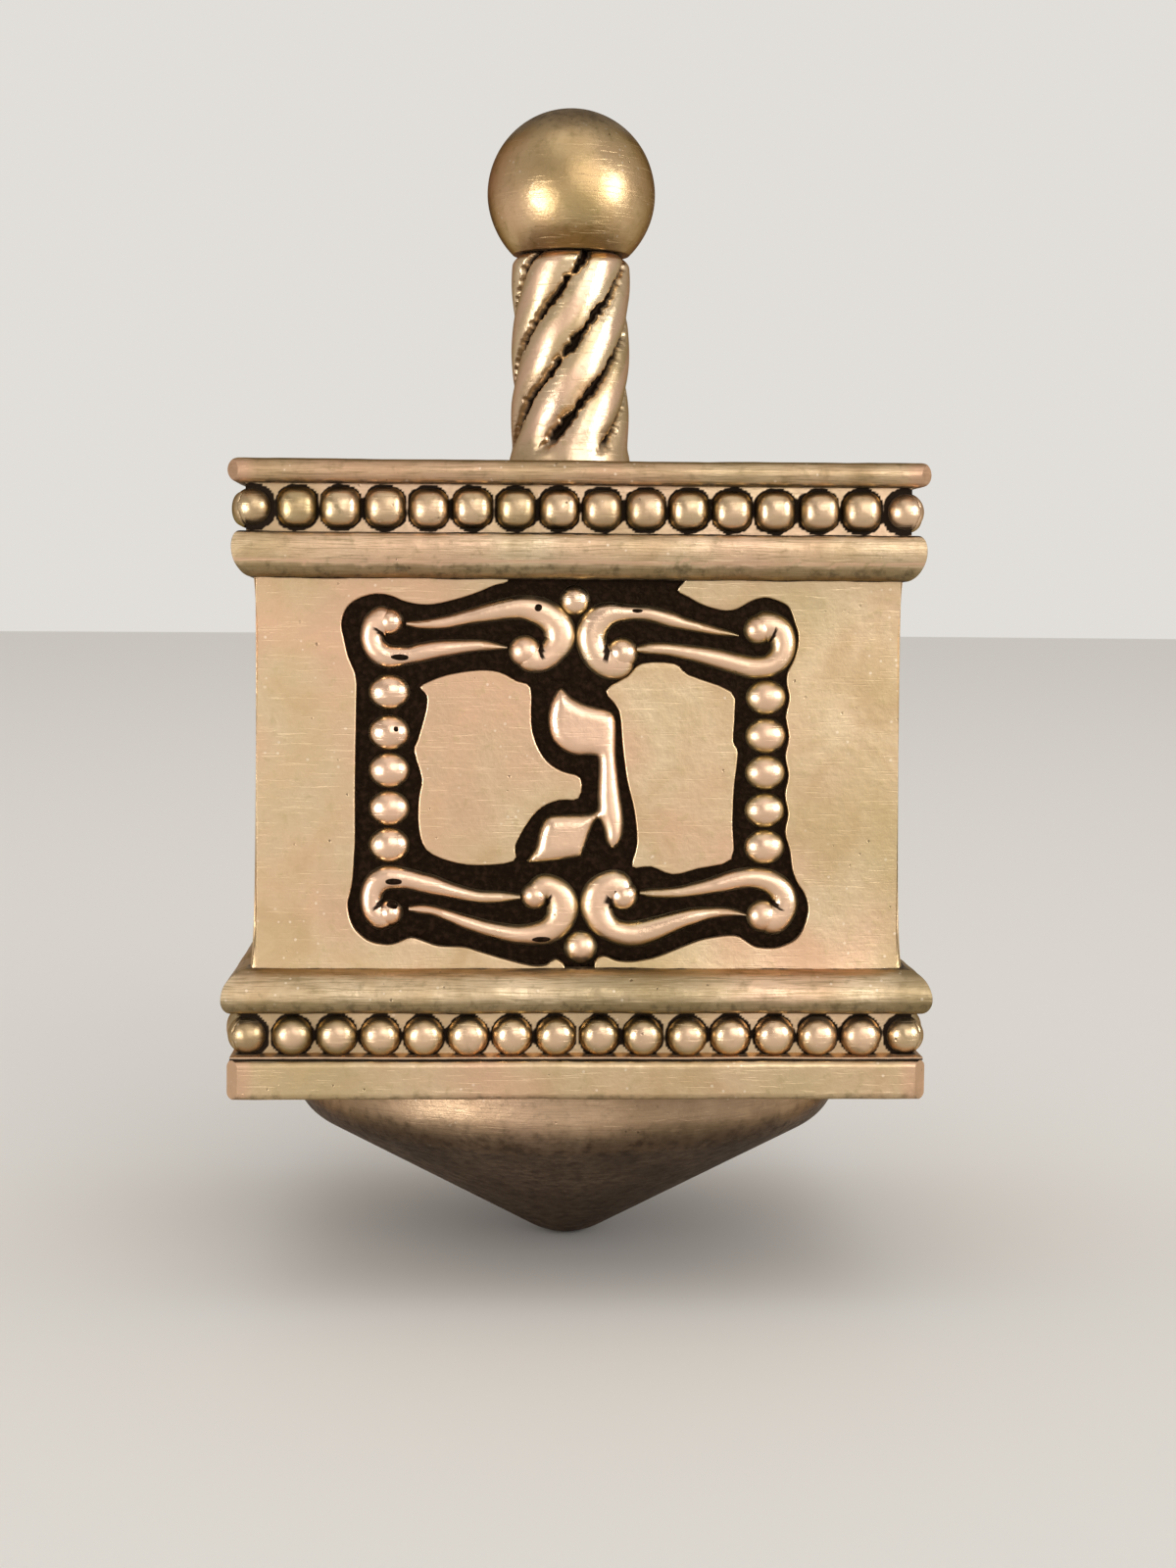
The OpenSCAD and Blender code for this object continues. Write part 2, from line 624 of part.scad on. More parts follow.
// Letters, one traditional game mark for each side
gimel_shares = [[
    [-0.092, 0.498], [-0.037, 0.447], [0.037, 0.407], [0.154, 0.372], [0.195, 0.31], [0.199, 0.108],
    [0.222, -0.112], [0.24, -0.26], [0.229, -0.376], [0.185, -0.434], [0.147, -0.396], [0.131, -0.315],
    [0.102, -0.26], [0.068, -0.322], [0.026, -0.454], [-0.007, -0.484], [-0.259, -0.516],
    [-0.226, -0.427], [-0.203, -0.315], [-0.162, -0.244], [-0.074, -0.232], [0.086, -0.219],
    [0.098, -0.112], [0.102, 0.078], [0.074, 0.108], [-0.007, 0.108], [-0.074, 0.132],
    [-0.135, 0.193], [-0.162, 0.281], [-0.157, 0.384], [-0.128, 0.468]
]];
nun_shares = [[
    [-0.111, 0.498], [-0.046, 0.447], [0.028, 0.407], [0.139, 0.372], [0.18, 0.305], [0.185, 0.102],
    [0.199, -0.122], [0.213, -0.335], [0.194, -0.437], [0.129, -0.483], [-0.018, -0.488], [-0.25, -0.516],
    [-0.217, -0.427], [-0.194, -0.335], [-0.148, -0.28], [-0.046, -0.266], [0.055, -0.254],
    [0.079, -0.112], [0.083, 0.078], [0.055, 0.108], [-0.028, 0.108], [-0.092, 0.132],
    [-0.148, 0.193], [-0.176, 0.281], [-0.171, 0.384], [-0.143, 0.468]
]];
hei_shares = [
    [
        [-0.314, 0.488], [-0.24, 0.427], [-0.111, 0.407], [0.185, 0.402], [0.287, 0.366], [0.324, 0.274],
        [0.314, 0.051], [0.319, -0.203], [0.338, -0.396], [0.296, -0.468], [0.24, -0.437], [0.208, -0.305],
        [0.199, -0.051], [0.199, 0.122], [0.166, 0.168], [0, 0.173], [-0.185, 0.173], [-0.277, 0.203],
        [-0.342, 0.295], [-0.342, 0.407]
    ],
    [
        [-0.25, 0.061], [-0.194, 0.091], [-0.139, 0.051], [-0.139, -0.152], [-0.162, -0.356],
        [-0.203, -0.468], [-0.259, -0.457], [-0.287, -0.356], [-0.273, -0.152]
    ]
];
shin_shares = [[
    [-0.388, 0.488], [-0.333, 0.437], [-0.25, 0.407], [-0.213, 0.305], [-0.25, 0.142], [-0.24, -0.061],
    [-0.166, -0.224], [-0.074, -0.152], [-0.018, 0.041], [-0.055, 0.203], [-0.074, 0.325], [-0.046, 0.457],
    [0.018, 0.427], [0.092, 0.386], [0.12, 0.264], [0.083, 0.061], [0.055, -0.142], [0.12, -0.234],
    [0.222, -0.142], [0.259, 0.061], [0.222, 0.224], [0.222, 0.346], [0.259, 0.468], [0.333, 0.417],
    [0.407, 0.366], [0.416, 0.224], [0.379, -0.02], [0.314, -0.244], [0.203, -0.396], [0.018, -0.478],
    [-0.166, -0.457], [-0.296, -0.366], [-0.361, -0.183], [-0.37, 0.041], [-0.388, 0.203], [-0.425, 0.325]
]];

// Windows of bare panel at the letter's left and right, in shares of the cartouche's halves.
// A narrow letter leaves wide ones, which follow it, and a wide letter leaves plain ones.
left_window_shares = [
    [-0.835, 0.5], [-0.8, 0.45], [-0.805, 0.36], [-0.845, 0.2], [-0.865, 0.13], [-0.825, -0.03],
    [-0.84, -0.14], [-0.84, -0.31], [-0.8, -0.44], [-0.68, -0.505], [-0.53, -0.53], [-0.34, -0.505],
    [-0.33, -0.41], [-0.26, -0.27], [-0.19, -0.19], [-0.1, -0.15], [0, -0.14], [0.01, -0.02],
    [-0.09, 0.02], [-0.17, 0.08], [-0.225, 0.18], [-0.25, 0.3], [-0.255, 0.5], [-0.33, 0.54],
    [-0.42, 0.59], [-0.53, 0.6], [-0.68, 0.575], [-0.775, 0.54]
];
right_window_shares = [
    [0.14, 0.485], [0.255, 0.57], [0.33, 0.645], [0.5, 0.645], [0.575, 0.58], [0.8, 0.485],
    [0.82, 0.35], [0.815, 0.195], [0.84, 0.13], [0.82, -0.08], [0.815, -0.29], [0.81, -0.49],
    [0.635, -0.545], [0.5, -0.58], [0.385, -0.535], [0.285, -0.535], [0.31, -0.4], [0.295, -0.21],
    [0.255, -0.03], [0.23, 0.17], [0.21, 0.37]
];
narrow_window_shares = [
    [-0.835, 0.5], [-0.8, 0.45], [-0.81, 0.3], [-0.85, 0.14], [-0.825, -0.03], [-0.84, -0.31],
    [-0.8, -0.44], [-0.68, -0.505], [-0.53, -0.53], [-0.5, -0.4], [-0.48, -0.15], [-0.49, 0.1],
    [-0.5, 0.35], [-0.53, 0.55], [-0.68, 0.575], [-0.775, 0.54]
];

half_cart_w = body_half - cartouche_side_margin;
half_cart_h = (panel_show_h / 2 - ground_end_margin) / ground_reach_share;
scroll_room = min(half_cart_w * scroll_room_w_share, half_cart_h * scroll_room_h_share);
scroll_w = (scroll_room - scroll_gap) / scroll_full_share;
column_pitch = half_cart_h * column_pitch_share;
column_bead_d = column_pitch - column_gap;
column_places = [
    for (side = [-1, 1], i = [0 : column_beads - 1])
        [side * half_cart_w, half_cart_h * column_middle_share + (i - (column_beads - 1) / 2) * column_pitch]
];
centre_places = sized(centre_bead_shares, half_cart_w, half_cart_h);

function ground_edge() =
    let (
        left = sized(left_edge_shares, half_cart_w, half_cart_h),
        right = sized(right_edge_shares, half_cart_w, half_cart_h),
        run_out = panel_show_h / 2
    )
    concat(
        left,
        [[left[len(left) - 1][0], run_out], [right[0][0], run_out]],
        right,
        [[right[len(right) - 1][0], -run_out], [left[0][0], -run_out]]
    );

module windows(letter) {
    if (letter == "hei" || letter == "shin") {
        polygon(sized(narrow_window_shares, half_cart_w, half_cart_h));
        mirror([1, 0])
            polygon(sized(narrow_window_shares, half_cart_w, half_cart_h));
    } else {
        polygon(sized(left_window_shares, half_cart_w, half_cart_h));
        polygon(sized(right_window_shares, half_cart_w, half_cart_h));
    }
}

module bead_ground() {
    for (place = column_places)
        translate(place)
            circle(d = column_bead_d + 2 * bead_margin, $fn = 40);
    for (place = centre_places)
        translate(place)
            circle(d = centre_bead_d + 2 * bead_margin, $fn = 40);
}

// The ground from one depth to another. Its two parts overlap, and join as solids
module ground(letter, from, to) {
    on_face(from, to)
        difference() {
            polygon(ground_edge());
            windows(letter);
        }
    on_face(from, to)
        bead_ground();
}

function letter_parts(letter) =
    letter == "gimel" ? gimel_shares :
    letter == "nun" ? nun_shares :
    letter == "hei" ? hei_shares : shin_shares;

module letter_shape(letter) {
    for (part = letter_parts(letter))
        polygon(sized(part, half_cart_w, half_cart_h));
}

// One scroll: its round head, and the stroke that starts under it
module scroll(shares) {
    path = [for (s = shares) [s[0] * half_cart_w, s[1] * half_cart_h, s[2] * scroll_w / 2]];
    polygon(stroke_outline(smooth([for (i = [1 : len(path) - 1]) path[i]], scroll_smoothing)));
    translate([path[0][0], path[0][1]])
        circle(r = path[0][2], $fn = 40);
}

module scrollwork() {
    scroll(top_left_outer_shares);
    scroll(top_left_inner_shares);
    scroll(top_right_outer_shares);
    scroll(top_right_inner_shares);
    scroll(bottom_left_outer_shares);
    scroll(bottom_left_inner_shares);
    scroll(bottom_right_outer_shares);
    scroll(bottom_right_inner_shares);
}

// The cartouche's beads, which stand on the ground
module cartouche_beads() {
    for (place = column_places)
        translate([place[0], -ground_half, cartouche_z + place[1]])
            sphere(d = column_bead_d, $fn = 40);
    for (place = centre_places)
        translate([place[0], -ground_half, cartouche_z + place[1]])
            sphere(d = centre_bead_d, $fn = 40);
}

// A cast panel: a mitred wall with a hollowed face, a sunk ground and its relief
module panel(side, letter) {
    face = [
        for (i = [0 : curve_steps])
            let (z = panel_show_bottom + panel_show_h * i / curve_steps)
            [face_half(z), z]
    ];
    color(silver)
    on_side(side) {
        difference() {
            strip(concat(
                [[inner_half, base_plate_top], [seat_half, base_plate_top], [seat_half, panel_show_bottom]],
                face,
                [[seat_half, panel_show_top], [seat_half, top_plate_bottom], [inner_half, top_plate_bottom]]
            ));
            ground(letter, ground_half, relief_half + overrun);
        }
        on_face(ground_half - root_depth, relief_half)
            scrollwork();
        on_face(ground_half - root_depth, relief_half)
            letter_shape(letter);
        cartouche_beads();
    }
}

// The black enamel that fills the bottom of the ground, round the relief
module enamel(side, letter) {
    color(black)
    on_side(side)
        difference() {
            ground(letter, ground_half, ground_half + enamel_t);
            on_face(ground_half - overrun, relief_half + overrun)
                scrollwork();
            on_face(ground_half - overrun, relief_half + overrun)
                letter_shape(letter);
            cartouche_beads();
        }
}

module front_panel() { panel("front", "gimel"); }
module right_panel() { panel("right", "nun"); }
module back_panel() { panel("back", "shin"); }
module left_panel() { panel("left", "hei"); }
module front_enamel() { enamel("front", "gimel"); }
module right_enamel() { enamel("right", "nun"); }
module back_enamel() { enamel("back", "shin"); }
module left_enamel() { enamel("left", "hei"); }

top_plate();
base_plate();
tip_cone();
twisted_stem();
ball_knob();
ball_dowel();
stem_stud();
stem_nut();
stem_washer();
front_panel();
right_panel();
back_panel();
left_panel();
front_enamel();
right_enamel();
back_enamel();
left_enamel();
upper_moulding("front");  // front_upper_moulding
upper_moulding("right");  // right_upper_moulding
upper_moulding("back");  // back_upper_moulding
upper_moulding("left");  // left_upper_moulding
lower_moulding("front");  // front_lower_moulding
lower_moulding("right");  // right_lower_moulding
lower_moulding("back");  // back_lower_moulding
lower_moulding("left");  // left_lower_moulding
upper_beading("front");  // front_upper_beading
upper_beading("right");  // right_upper_beading
upper_beading("back");  // back_upper_beading
upper_beading("left");  // left_upper_beading
lower_beading("front");  // front_lower_beading
lower_beading("right");  // right_lower_beading
lower_beading("back");  // back_lower_beading
lower_beading("left");  // left_lower_beading
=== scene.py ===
# %% [markdown]
# # A dreidel of cast metal and black enamel
# The imported model gives every piece its true place. This script gives the pieces their looks:
# worn cast metal, dark hollows, beads, scrolls, and a twisted grip, with some light and shade
# painted into their colours. It runs from top to bottom, one small step in each cell.

# %% Load the imported model
import math

import bmesh
import bpy
from mathutils import Matrix, Vector, noise


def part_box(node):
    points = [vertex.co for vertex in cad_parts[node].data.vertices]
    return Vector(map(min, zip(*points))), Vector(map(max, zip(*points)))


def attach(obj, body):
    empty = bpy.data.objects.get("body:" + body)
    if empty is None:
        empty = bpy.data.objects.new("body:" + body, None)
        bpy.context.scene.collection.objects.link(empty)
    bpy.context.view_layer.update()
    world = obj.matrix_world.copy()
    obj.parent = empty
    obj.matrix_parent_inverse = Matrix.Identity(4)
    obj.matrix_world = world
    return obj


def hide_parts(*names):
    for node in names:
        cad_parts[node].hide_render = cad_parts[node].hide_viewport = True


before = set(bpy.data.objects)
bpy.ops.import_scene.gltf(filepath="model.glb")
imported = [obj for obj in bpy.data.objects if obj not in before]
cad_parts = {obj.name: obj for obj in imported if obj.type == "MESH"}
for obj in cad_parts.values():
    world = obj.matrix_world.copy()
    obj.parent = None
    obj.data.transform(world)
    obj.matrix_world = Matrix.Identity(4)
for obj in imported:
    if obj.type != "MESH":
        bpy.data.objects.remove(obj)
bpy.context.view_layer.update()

noise.seed_set(1)  # unseeded, noise_vector takes its place from the clock and differs in each run
print("CAD nodes:", len(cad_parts))

# %% [markdown]
# ## Sizes
# Everything is drawn in millimetres on the front side, with "depth" measured outwards from the
# spin axis. A finished mesh is turned to its side and made metres in
# one place only. The heights come from the CAD nodes' own boxes, so nothing has to be fitted.

# %% Sizes in millimetres
MM = 0.001


def heights(node):
    low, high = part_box(node)
    return low.z / MM, high.z / MM


BASE_TOP = heights("front_panel")[0]
TIP_H = BASE_TOP - 2.8  # the base plate's thickness lies between them
BEADS_TOP = heights("front_lower_beading")[1]
PANEL_LOW, PANEL_HIGH = heights("front_lower_moulding")[1], heights("front_upper_moulding")[0]
UPPER_BEADS_LOW, UPPER_BEADS_TOP = heights("front_upper_beading")
STEM_LOW, STEM_HIGH = heights("twisted_stem")
BALL_TOP = heights("ball_knob")[1]
MIDDLE = (PANEL_LOW + PANEL_HIGH) / 2
HALF_SHOW = (PANEL_HIGH - PANEL_LOW) / 2
# depths: the body's face, the seat of the strips, the panels' back, the enamel's skin, the sunk
# ground under it, and the foot of what is cut round or stands on that ground
BODY, SEAT, INNER, ENAMEL, GROUND, FOOT = 22.5, 22.2, 20.1, 22.1, 21.7, 21.6
SIDES = {"front": 0, "right": 90, "back": 180, "left": 270}
print("panel shows from", round(PANEL_LOW, 2), "to", round(PANEL_HIGH, 2), "mm")


def face_depth(z):
    """A panel leans out a little downwards, and flares at both ends."""
    t = (MIDDLE - z) / HALF_SHOW
    return BODY + 0.15 * t + 0.25 * abs(t) ** 6


def ease(low, high, value):
    """0 before low, 1 past high, and smooth between. High may be the smaller."""
    t = min(max((value - low) / (high - low), 0), 1)
    return t * t * (3 - 2 * t)


# %% [markdown]
# ## Two things that every vertex remembers
# Old metal is dark where fingers never rub it. Each vertex gets "soot_and_painted_shade", from 0 on
# rubbed metal to 1 in a dirty hollow, which also carries painted shade and painted dark reflections,
# and "tone_and_painted_light", which is positive where the metal is rubbed pink and bright and
# negative where a green-brown film stays, and which also carries painted highlights and painted
# shade. The materials read both.

# %% Writing a finished piece


def blank():
    """An empty piece, ready to remember both."""
    bm = bmesh.new()
    bm.verts.layers.float.new("soot_and_painted_shade")
    bm.verts.layers.float.new("tone_and_painted_light")
    return bm


def stain(bm, rule):
    """rule(vertex) gives (soot_and_painted_shade, tone_and_painted_light)."""
    soot_and_painted_shade, tone_and_painted_light = bm.verts.layers.float["soot_and_painted_shade"], bm.verts.layers.float["tone_and_painted_light"]
    for v in bm.verts:
        v[soot_and_painted_shade], v[tone_and_painted_light] = rule(v)


def wobble(bm, amount, size, turn=0):
    """Moves vertices a little, by where they are in the world, so that mitred ends stay together."""
    spin = Matrix.Rotation(math.radians(turn), 3, "Z")
    for v in bm.verts:
        v.co += spin.inverted() @ noise.noise_vector(spin @ v.co / size) * amount


def write_piece(bm, name, materials, node, turn=0, crease=35):
    """Edges sharper than crease, in degrees, stay sharp to the eye."""
    bmesh.ops.recalc_face_normals(bm, faces=bm.faces)
    to_side = Matrix.Rotation(math.radians(turn), 4, "Z") @ Matrix.Scale(MM, 4)
    bmesh.ops.transform(bm, matrix=to_side, verts=bm.verts)
    mesh = bpy.data.meshes.new(name)
    bm.to_mesh(mesh)
    bm.free()
    for material in materials:
        mesh.materials.append(material)
    mesh.shade_smooth()
    mesh.set_sharp_from_angle(angle=math.radians(crease))
    piece = bpy.data.objects.new(name, mesh)
    bpy.context.scene.collection.objects.link(piece)
    level = piece.modifiers.new("even_light", "WEIGHTED_NORMAL")
    level.keep_sharp = True
    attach(piece, "root")
    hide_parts(node)
    print(name, len(mesh.polygons), "faces")


# %% [markdown]
# ## Materials
# A node tree is a list of small steps. One function adds a step, sets its fixed values and links
# what feeds it. Colours are written as sRGB hex, as a painter reads them off a picture, and one
# function turns them to the linear values that a renderer needs.

# %% Helpers for materials


def linear(hex_colour):
    parts = [int(hex_colour[i:i + 2], 16) / 255 for i in (1, 3, 5)]
    return [c / 12.92 if c < 0.04045 else ((c + 0.055) / 1.055) ** 2.4 for c in parts] + [1]


def add_node(tree, kind, values=None, links=None):
    node = tree.nodes.new(kind)
    for key, value in (values or {}).items():
        if isinstance(key, str) and key in node.bl_rna.properties:
            setattr(node, key, value)
        else:
            node.inputs[key].default_value = value
    for key, source in (links or {}).items():
        tree.links.new(source, node.inputs[key])
    return node


def per_mm(size):
    """The scale at which a pattern on coordinates in metres repeats about once in size millimetres."""
    return 1 / (size * MM)


# %% [markdown]
# ### Cast silver-coloured alloy, satin, tarnished
# The body is a cast white-metal alloy with a warm silver finish that has gone cloudy. Casting
# leaves soft pits, rubbing leaves fine scratches, and tarnish lies in clouds of pink, straw and
# green-brown some millimetres across. All of it is noise at those real sizes. Hollows, and places
# given painted shade or a painted dark reflection, mix to a nearly black film that is hardly metal
# any more, and so is rougher and reflects little. A lean from pink on the left to film on the
# right is a painted tint of the lamps' colours.

# %% The worn metal


def worn_metal(name, pale, deep, film, blush, dirt, rough,
               side_light_tint=0.0, streaks=0.35, patchy=0.16, edge="#B9A58C"):
    """Clouds run from pale to deep. Film is the green-brown tarnish and blush the rubbed pink.
    side_light_tint leans the colour from blush on the left to film on the right, a painted tint of
    the lamps' colours, patchy breaks up the soot and painted shade, and edge tints grazing
    reflections, where a dark edge paints a dark reflection."""
    material = bpy.data.materials.new(name)
    material.use_nodes = True
    tree = material.node_tree
    tree.nodes.clear()
    place = add_node(tree, "ShaderNodeTexCoord").outputs["Object"]

    def grain(size, detail=3.0, distortion=0.0, source=place):
        return add_node(tree, "ShaderNodeTexNoise", {"Scale": per_mm(size), "Detail": detail,
                        "Roughness": 0.6, "Distortion": distortion}, {"Vector": source}).outputs["Fac"]

    def level(source, low, high, to_low=0.0, to_high=1.0):
        values = {"interpolation_type": "SMOOTHSTEP", "From Min": low, "From Max": high,
                  "To Min": to_low, "To Max": to_high}
        return add_node(tree, "ShaderNodeMapRange", values, {"Value": source}).outputs["Result"]

    def sum_up(kind, a, b):
        values, links = {"operation": kind, "use_clamp": kind != "SUBTRACT"}, {}
        for i, item in enumerate((a, b)):
            (values if isinstance(item, (int, float)) else links)[i] = item
        return add_node(tree, "ShaderNodeMath", values, links).outputs[0]

    def mix(factor, a, b):
        values, links = {"data_type": "RGBA"}, {0: factor}
        for i, item in ((6, a), (7, b)):
            (values if isinstance(item, list) else links)[i] = item
        return add_node(tree, "ShaderNodeMix", values, links).outputs[2]

    # clouds of tarnish about 6 mm across, then straw against blush over about 15 mm
    clouds = level(grain(6, 5, 0.6), 0.3, 0.72)
    colour = mix(clouds, linear(deep), linear(pale))
    # Painted light: a lean along X, blush on the left and film on the right, paints the lamps' tint.
    across = add_node(tree, "ShaderNodeSeparateXYZ", links={0: place}).outputs["X"]
    side_light_lean = add_node(tree, "ShaderNodeMath", {"operation": "MULTIPLY", 1: side_light_tint}, {0: across}).outputs[0]
    tint = sum_up("ADD", grain(15, 2), side_light_lean)
    colour = mix(level(tint, 0.54, 0.36, 0, 0.7), colour, linear(blush))
    colour = mix(level(tint, 0.5, 0.7, 0, 0.6), colour, linear(film))
    # the cast skin: mottling under a millimetre, and pits some tenths across
    mottle = grain(0.8, 4)
    colour = mix(level(mottle, 0.52, 0.74, 0, 0.42), colour, linear(film))
    pits = add_node(tree, "ShaderNodeTexVoronoi", {"Scale": per_mm(1.1)}, {"Vector": place})
    ragged = sum_up("ADD", pits.outputs["Distance"], level(grain(0.3, 2), 0.3, 0.7, 0, 0.1))
    pit = sum_up("MULTIPLY", level(ragged, 0.15, 0.08), level(grain(7, 1), 0.5, 0.62))
    # scratches run every way, so two stretched grains cross each other
    lines = []
    for angle in ((0.3, 0.5, 0.2), (1.1, -0.4, 0.9)):
        stretched = add_node(tree, "ShaderNodeMapping", {"Rotation": angle, "Scale": (1, 1, 22)},
                             {"Vector": place})
        lines.append(level(grain(3.2, 2, 0, stretched.outputs["Vector"]), 0.62, 0.72))
    scratch = sum_up("MAXIMUM", *lines)
    # rubbing along the edges leaves level streaks, 3 mm long and a tenth high
    level_lines = add_node(tree, "ShaderNodeMapping", {"Scale": (1, 1, 26)}, {"Vector": place})
    streak = level(grain(3, 5, 0.3, level_lines.outputs["Vector"]), 0.46, 0.64, 0, streaks)
    colour = mix(streak, colour, linear(film))
    colour = mix(level(scratch, 0, 1, 0, 0.3), colour, linear(pale))
    # nicks, a tenth across, show bright metal
    nicks = add_node(tree, "ShaderNodeTexVoronoi", {"Scale": per_mm(0.8)}, {"Vector": place})
    nick = sum_up("MULTIPLY", level(nicks.outputs["Distance"], 0.15, 0.1), level(grain(5, 2), 0.48, 0.58))
    colour = mix(sum_up("MULTIPLY", nick, 0.35), colour, linear("#FFF0DA"))
    # what the vertices remember, broken up by the mottling
    soot_and_painted_shade = add_node(tree, "ShaderNodeAttribute", {"attribute_name": "soot_and_painted_shade"}).outputs["Fac"]
    soot_and_painted_shade = level(sum_up("ADD", soot_and_painted_shade, level(mottle, 0.35, 0.7, -patchy, patchy)), 0.12, 0.8)
    tone_and_painted_light = add_node(tree, "ShaderNodeAttribute", {"attribute_name": "tone_and_painted_light"}).outputs["Fac"]
    # tone_and_painted_light mixes towards blush and film: rubbed wear and film, and painted highlights and
    # painted shade.
    colour = mix(level(tone_and_painted_light, 0, 1, 0, 0.75), colour, linear(blush))
    colour = mix(level(tone_and_painted_light, 0, -1, 0, 0.7), colour, linear(film))
    colour = mix(sum_up("MULTIPLY", pit, 0.6), colour, linear(dirt))
    # soot_and_painted_shade mixes to the dark film: dirt in the hollows, and painted shade and painted dark
    # reflections where the pieces put them.
    colour = mix(soot_and_painted_shade, colour, linear(dirt))

    roughness = sum_up("ADD", level(clouds, 0, 1, rough + 0.08, rough - 0.04), level(scratch, 0, 1, 0, 0.08))
    roughness = sum_up("MAXIMUM", roughness, level(soot_and_painted_shade, 0, 1, 0, 0.62))
    relief = sum_up("SUBTRACT", mottle, sum_up("MULTIPLY", sum_up("MAXIMUM", scratch, streak), 0.25))
    relief = sum_up("SUBTRACT", relief, sum_up("MULTIPLY", pit, 0.8))
    bump = add_node(tree, "ShaderNodeBump", {"Strength": 0.55, "Distance": 0.06 * MM}, {"Height": relief})
    shader = add_node(tree, "ShaderNodeBsdfPrincipled", {"Specular Tint": linear(edge)}, {
        "Base Color": colour, "Metallic": level(soot_and_painted_shade, 0, 1, 1, 0.35),
        "Roughness": roughness, "Normal": bump.outputs["Normal"]})
    add_node(tree, "ShaderNodeOutputMaterial", links={"Surface": shader.outputs[0]})
    return material


# The dark film, for dirt and for painted shade alike.
DIRT_AND_SHADE = "#1C0F08"
cast_alloy = worn_metal("cast_alloy_satin", "#DDC4A0", "#BB9E7A", "#B7A276", "#D3AA8C", DIRT_AND_SHADE, 0.36,
                        side_light_tint=3, streaks=0.08)
plate_alloy = worn_metal("cast_alloy_filed", "#D0B793", "#AC906A", "#7F6D4A", "#C79F82", DIRT_AND_SHADE, 0.34,
                         side_light_tint=4, streaks=0.6)
bar_alloy = worn_metal("cast_alloy_drawn", "#E2CAA8", "#BA9F7A", "#857450", "#D8B193", DIRT_AND_SHADE, 0.34,
                       side_light_tint=3, streaks=0.55)
rubbed_alloy = worn_metal("cast_alloy_rubbed", "#EBD3B1", "#C9AB87", "#AD9A6C", "#EBC4A8", DIRT_AND_SHADE, 0.3,
                          side_light_tint=9, patchy=0.06, streaks=0.1)
bead_alloy = worn_metal("cast_alloy_beads", "#D8BF98", "#B0956C", "#7D6F4A", "#E8C4A6", "#160B06", 0.31,
                        patchy=0.05, streaks=0.1)
# The cone's darker colours and dark edge tint paint a dark reflection on it.
turned_alloy = worn_metal("turned_alloy_painted_dark", "#C9AB8B", "#A08467", "#73624A", "#CBAA8E", "#2A1A11", 0.38,
                          patchy=0.05, edge="#6E5F4C")
# The ball's dark edge tint paints a dark reflection round its rim, and its strong side_light_tint paints the
# lamps' tint across it.
ball_alloy = worn_metal("ball_alloy_polished", "#E0C397", "#BF9F74", "#94854F", "#DEAC8C", "#3A2A1A", 0.31,
                        side_light_tint=14, patchy=0.04, streaks=0.1, edge="#3E3322")
print("metals made")

# %% [markdown]
# ### Black enamel
# The ground round the ornament is filled with black glass paste, fired and then worn. Enamel is
# glassy, not metal, and this one is grainy and brown-black, with specks some tenths of a
# millimetre across that catch the light.

# %% The enamel


def black_enamel():
    material = bpy.data.materials.new("black_enamel_fired")
    material.use_nodes = True
    tree = material.node_tree
    tree.nodes.clear()
    place = add_node(tree, "ShaderNodeTexCoord").outputs["Object"]
    grit = add_node(tree, "ShaderNodeTexNoise", {"Scale": per_mm(0.45), "Detail": 4.0},
                    {"Vector": place}).outputs["Fac"]
    brown = add_node(tree, "ShaderNodeMapRange", {"From Min": 0.5, "From Max": 0.78},
                     {"Value": grit}).outputs[0]
    colour = add_node(tree, "ShaderNodeMix", {"data_type": "RGBA", 6: linear("#0A0503"),
                      7: linear("#2C1B14")}, {0: brown})
    sheen = add_node(tree, "ShaderNodeMapRange", {"From Min": 0.3, "From Max": 0.7, "To Min": 0.16,
                     "To Max": 0.6}, {"Value": grit}).outputs[0]
    bump = add_node(tree, "ShaderNodeBump", {"Strength": 0.8, "Distance": 0.12 * MM}, {"Height": grit})
    shader = add_node(tree, "ShaderNodeBsdfPrincipled", {"IOR": 1.5, "Metallic": 0.0,
                      "Specular IOR Level": 0.17, "Specular Tint": linear("#E0B48C")}, {
        "Base Color": colour.outputs[2], "Roughness": sheen, "Normal": bump.outputs["Normal"]})
    add_node(tree, "ShaderNodeOutputMaterial", links={"Surface": shader.outputs[0]})
    return material


enamel = black_enamel()
steel = worn_metal("turned_steel_plain", "#B9BBBE", "#A3A5A8", "#97958F", "#B5B4B2", "#2A2826", 0.3)
print("enamel and steel made")

# %% [markdown]
# ## The drawing of the panels
# Each panel's ornament was drawn by hand for the mould, so no two scrolls are quite alike. A
# stroke is a row of (across, up, half width) in millimetres from the panel's middle, a round
# head first. The edge of the sunk ground is two lines, left and right, that run out under the
# mouldings.

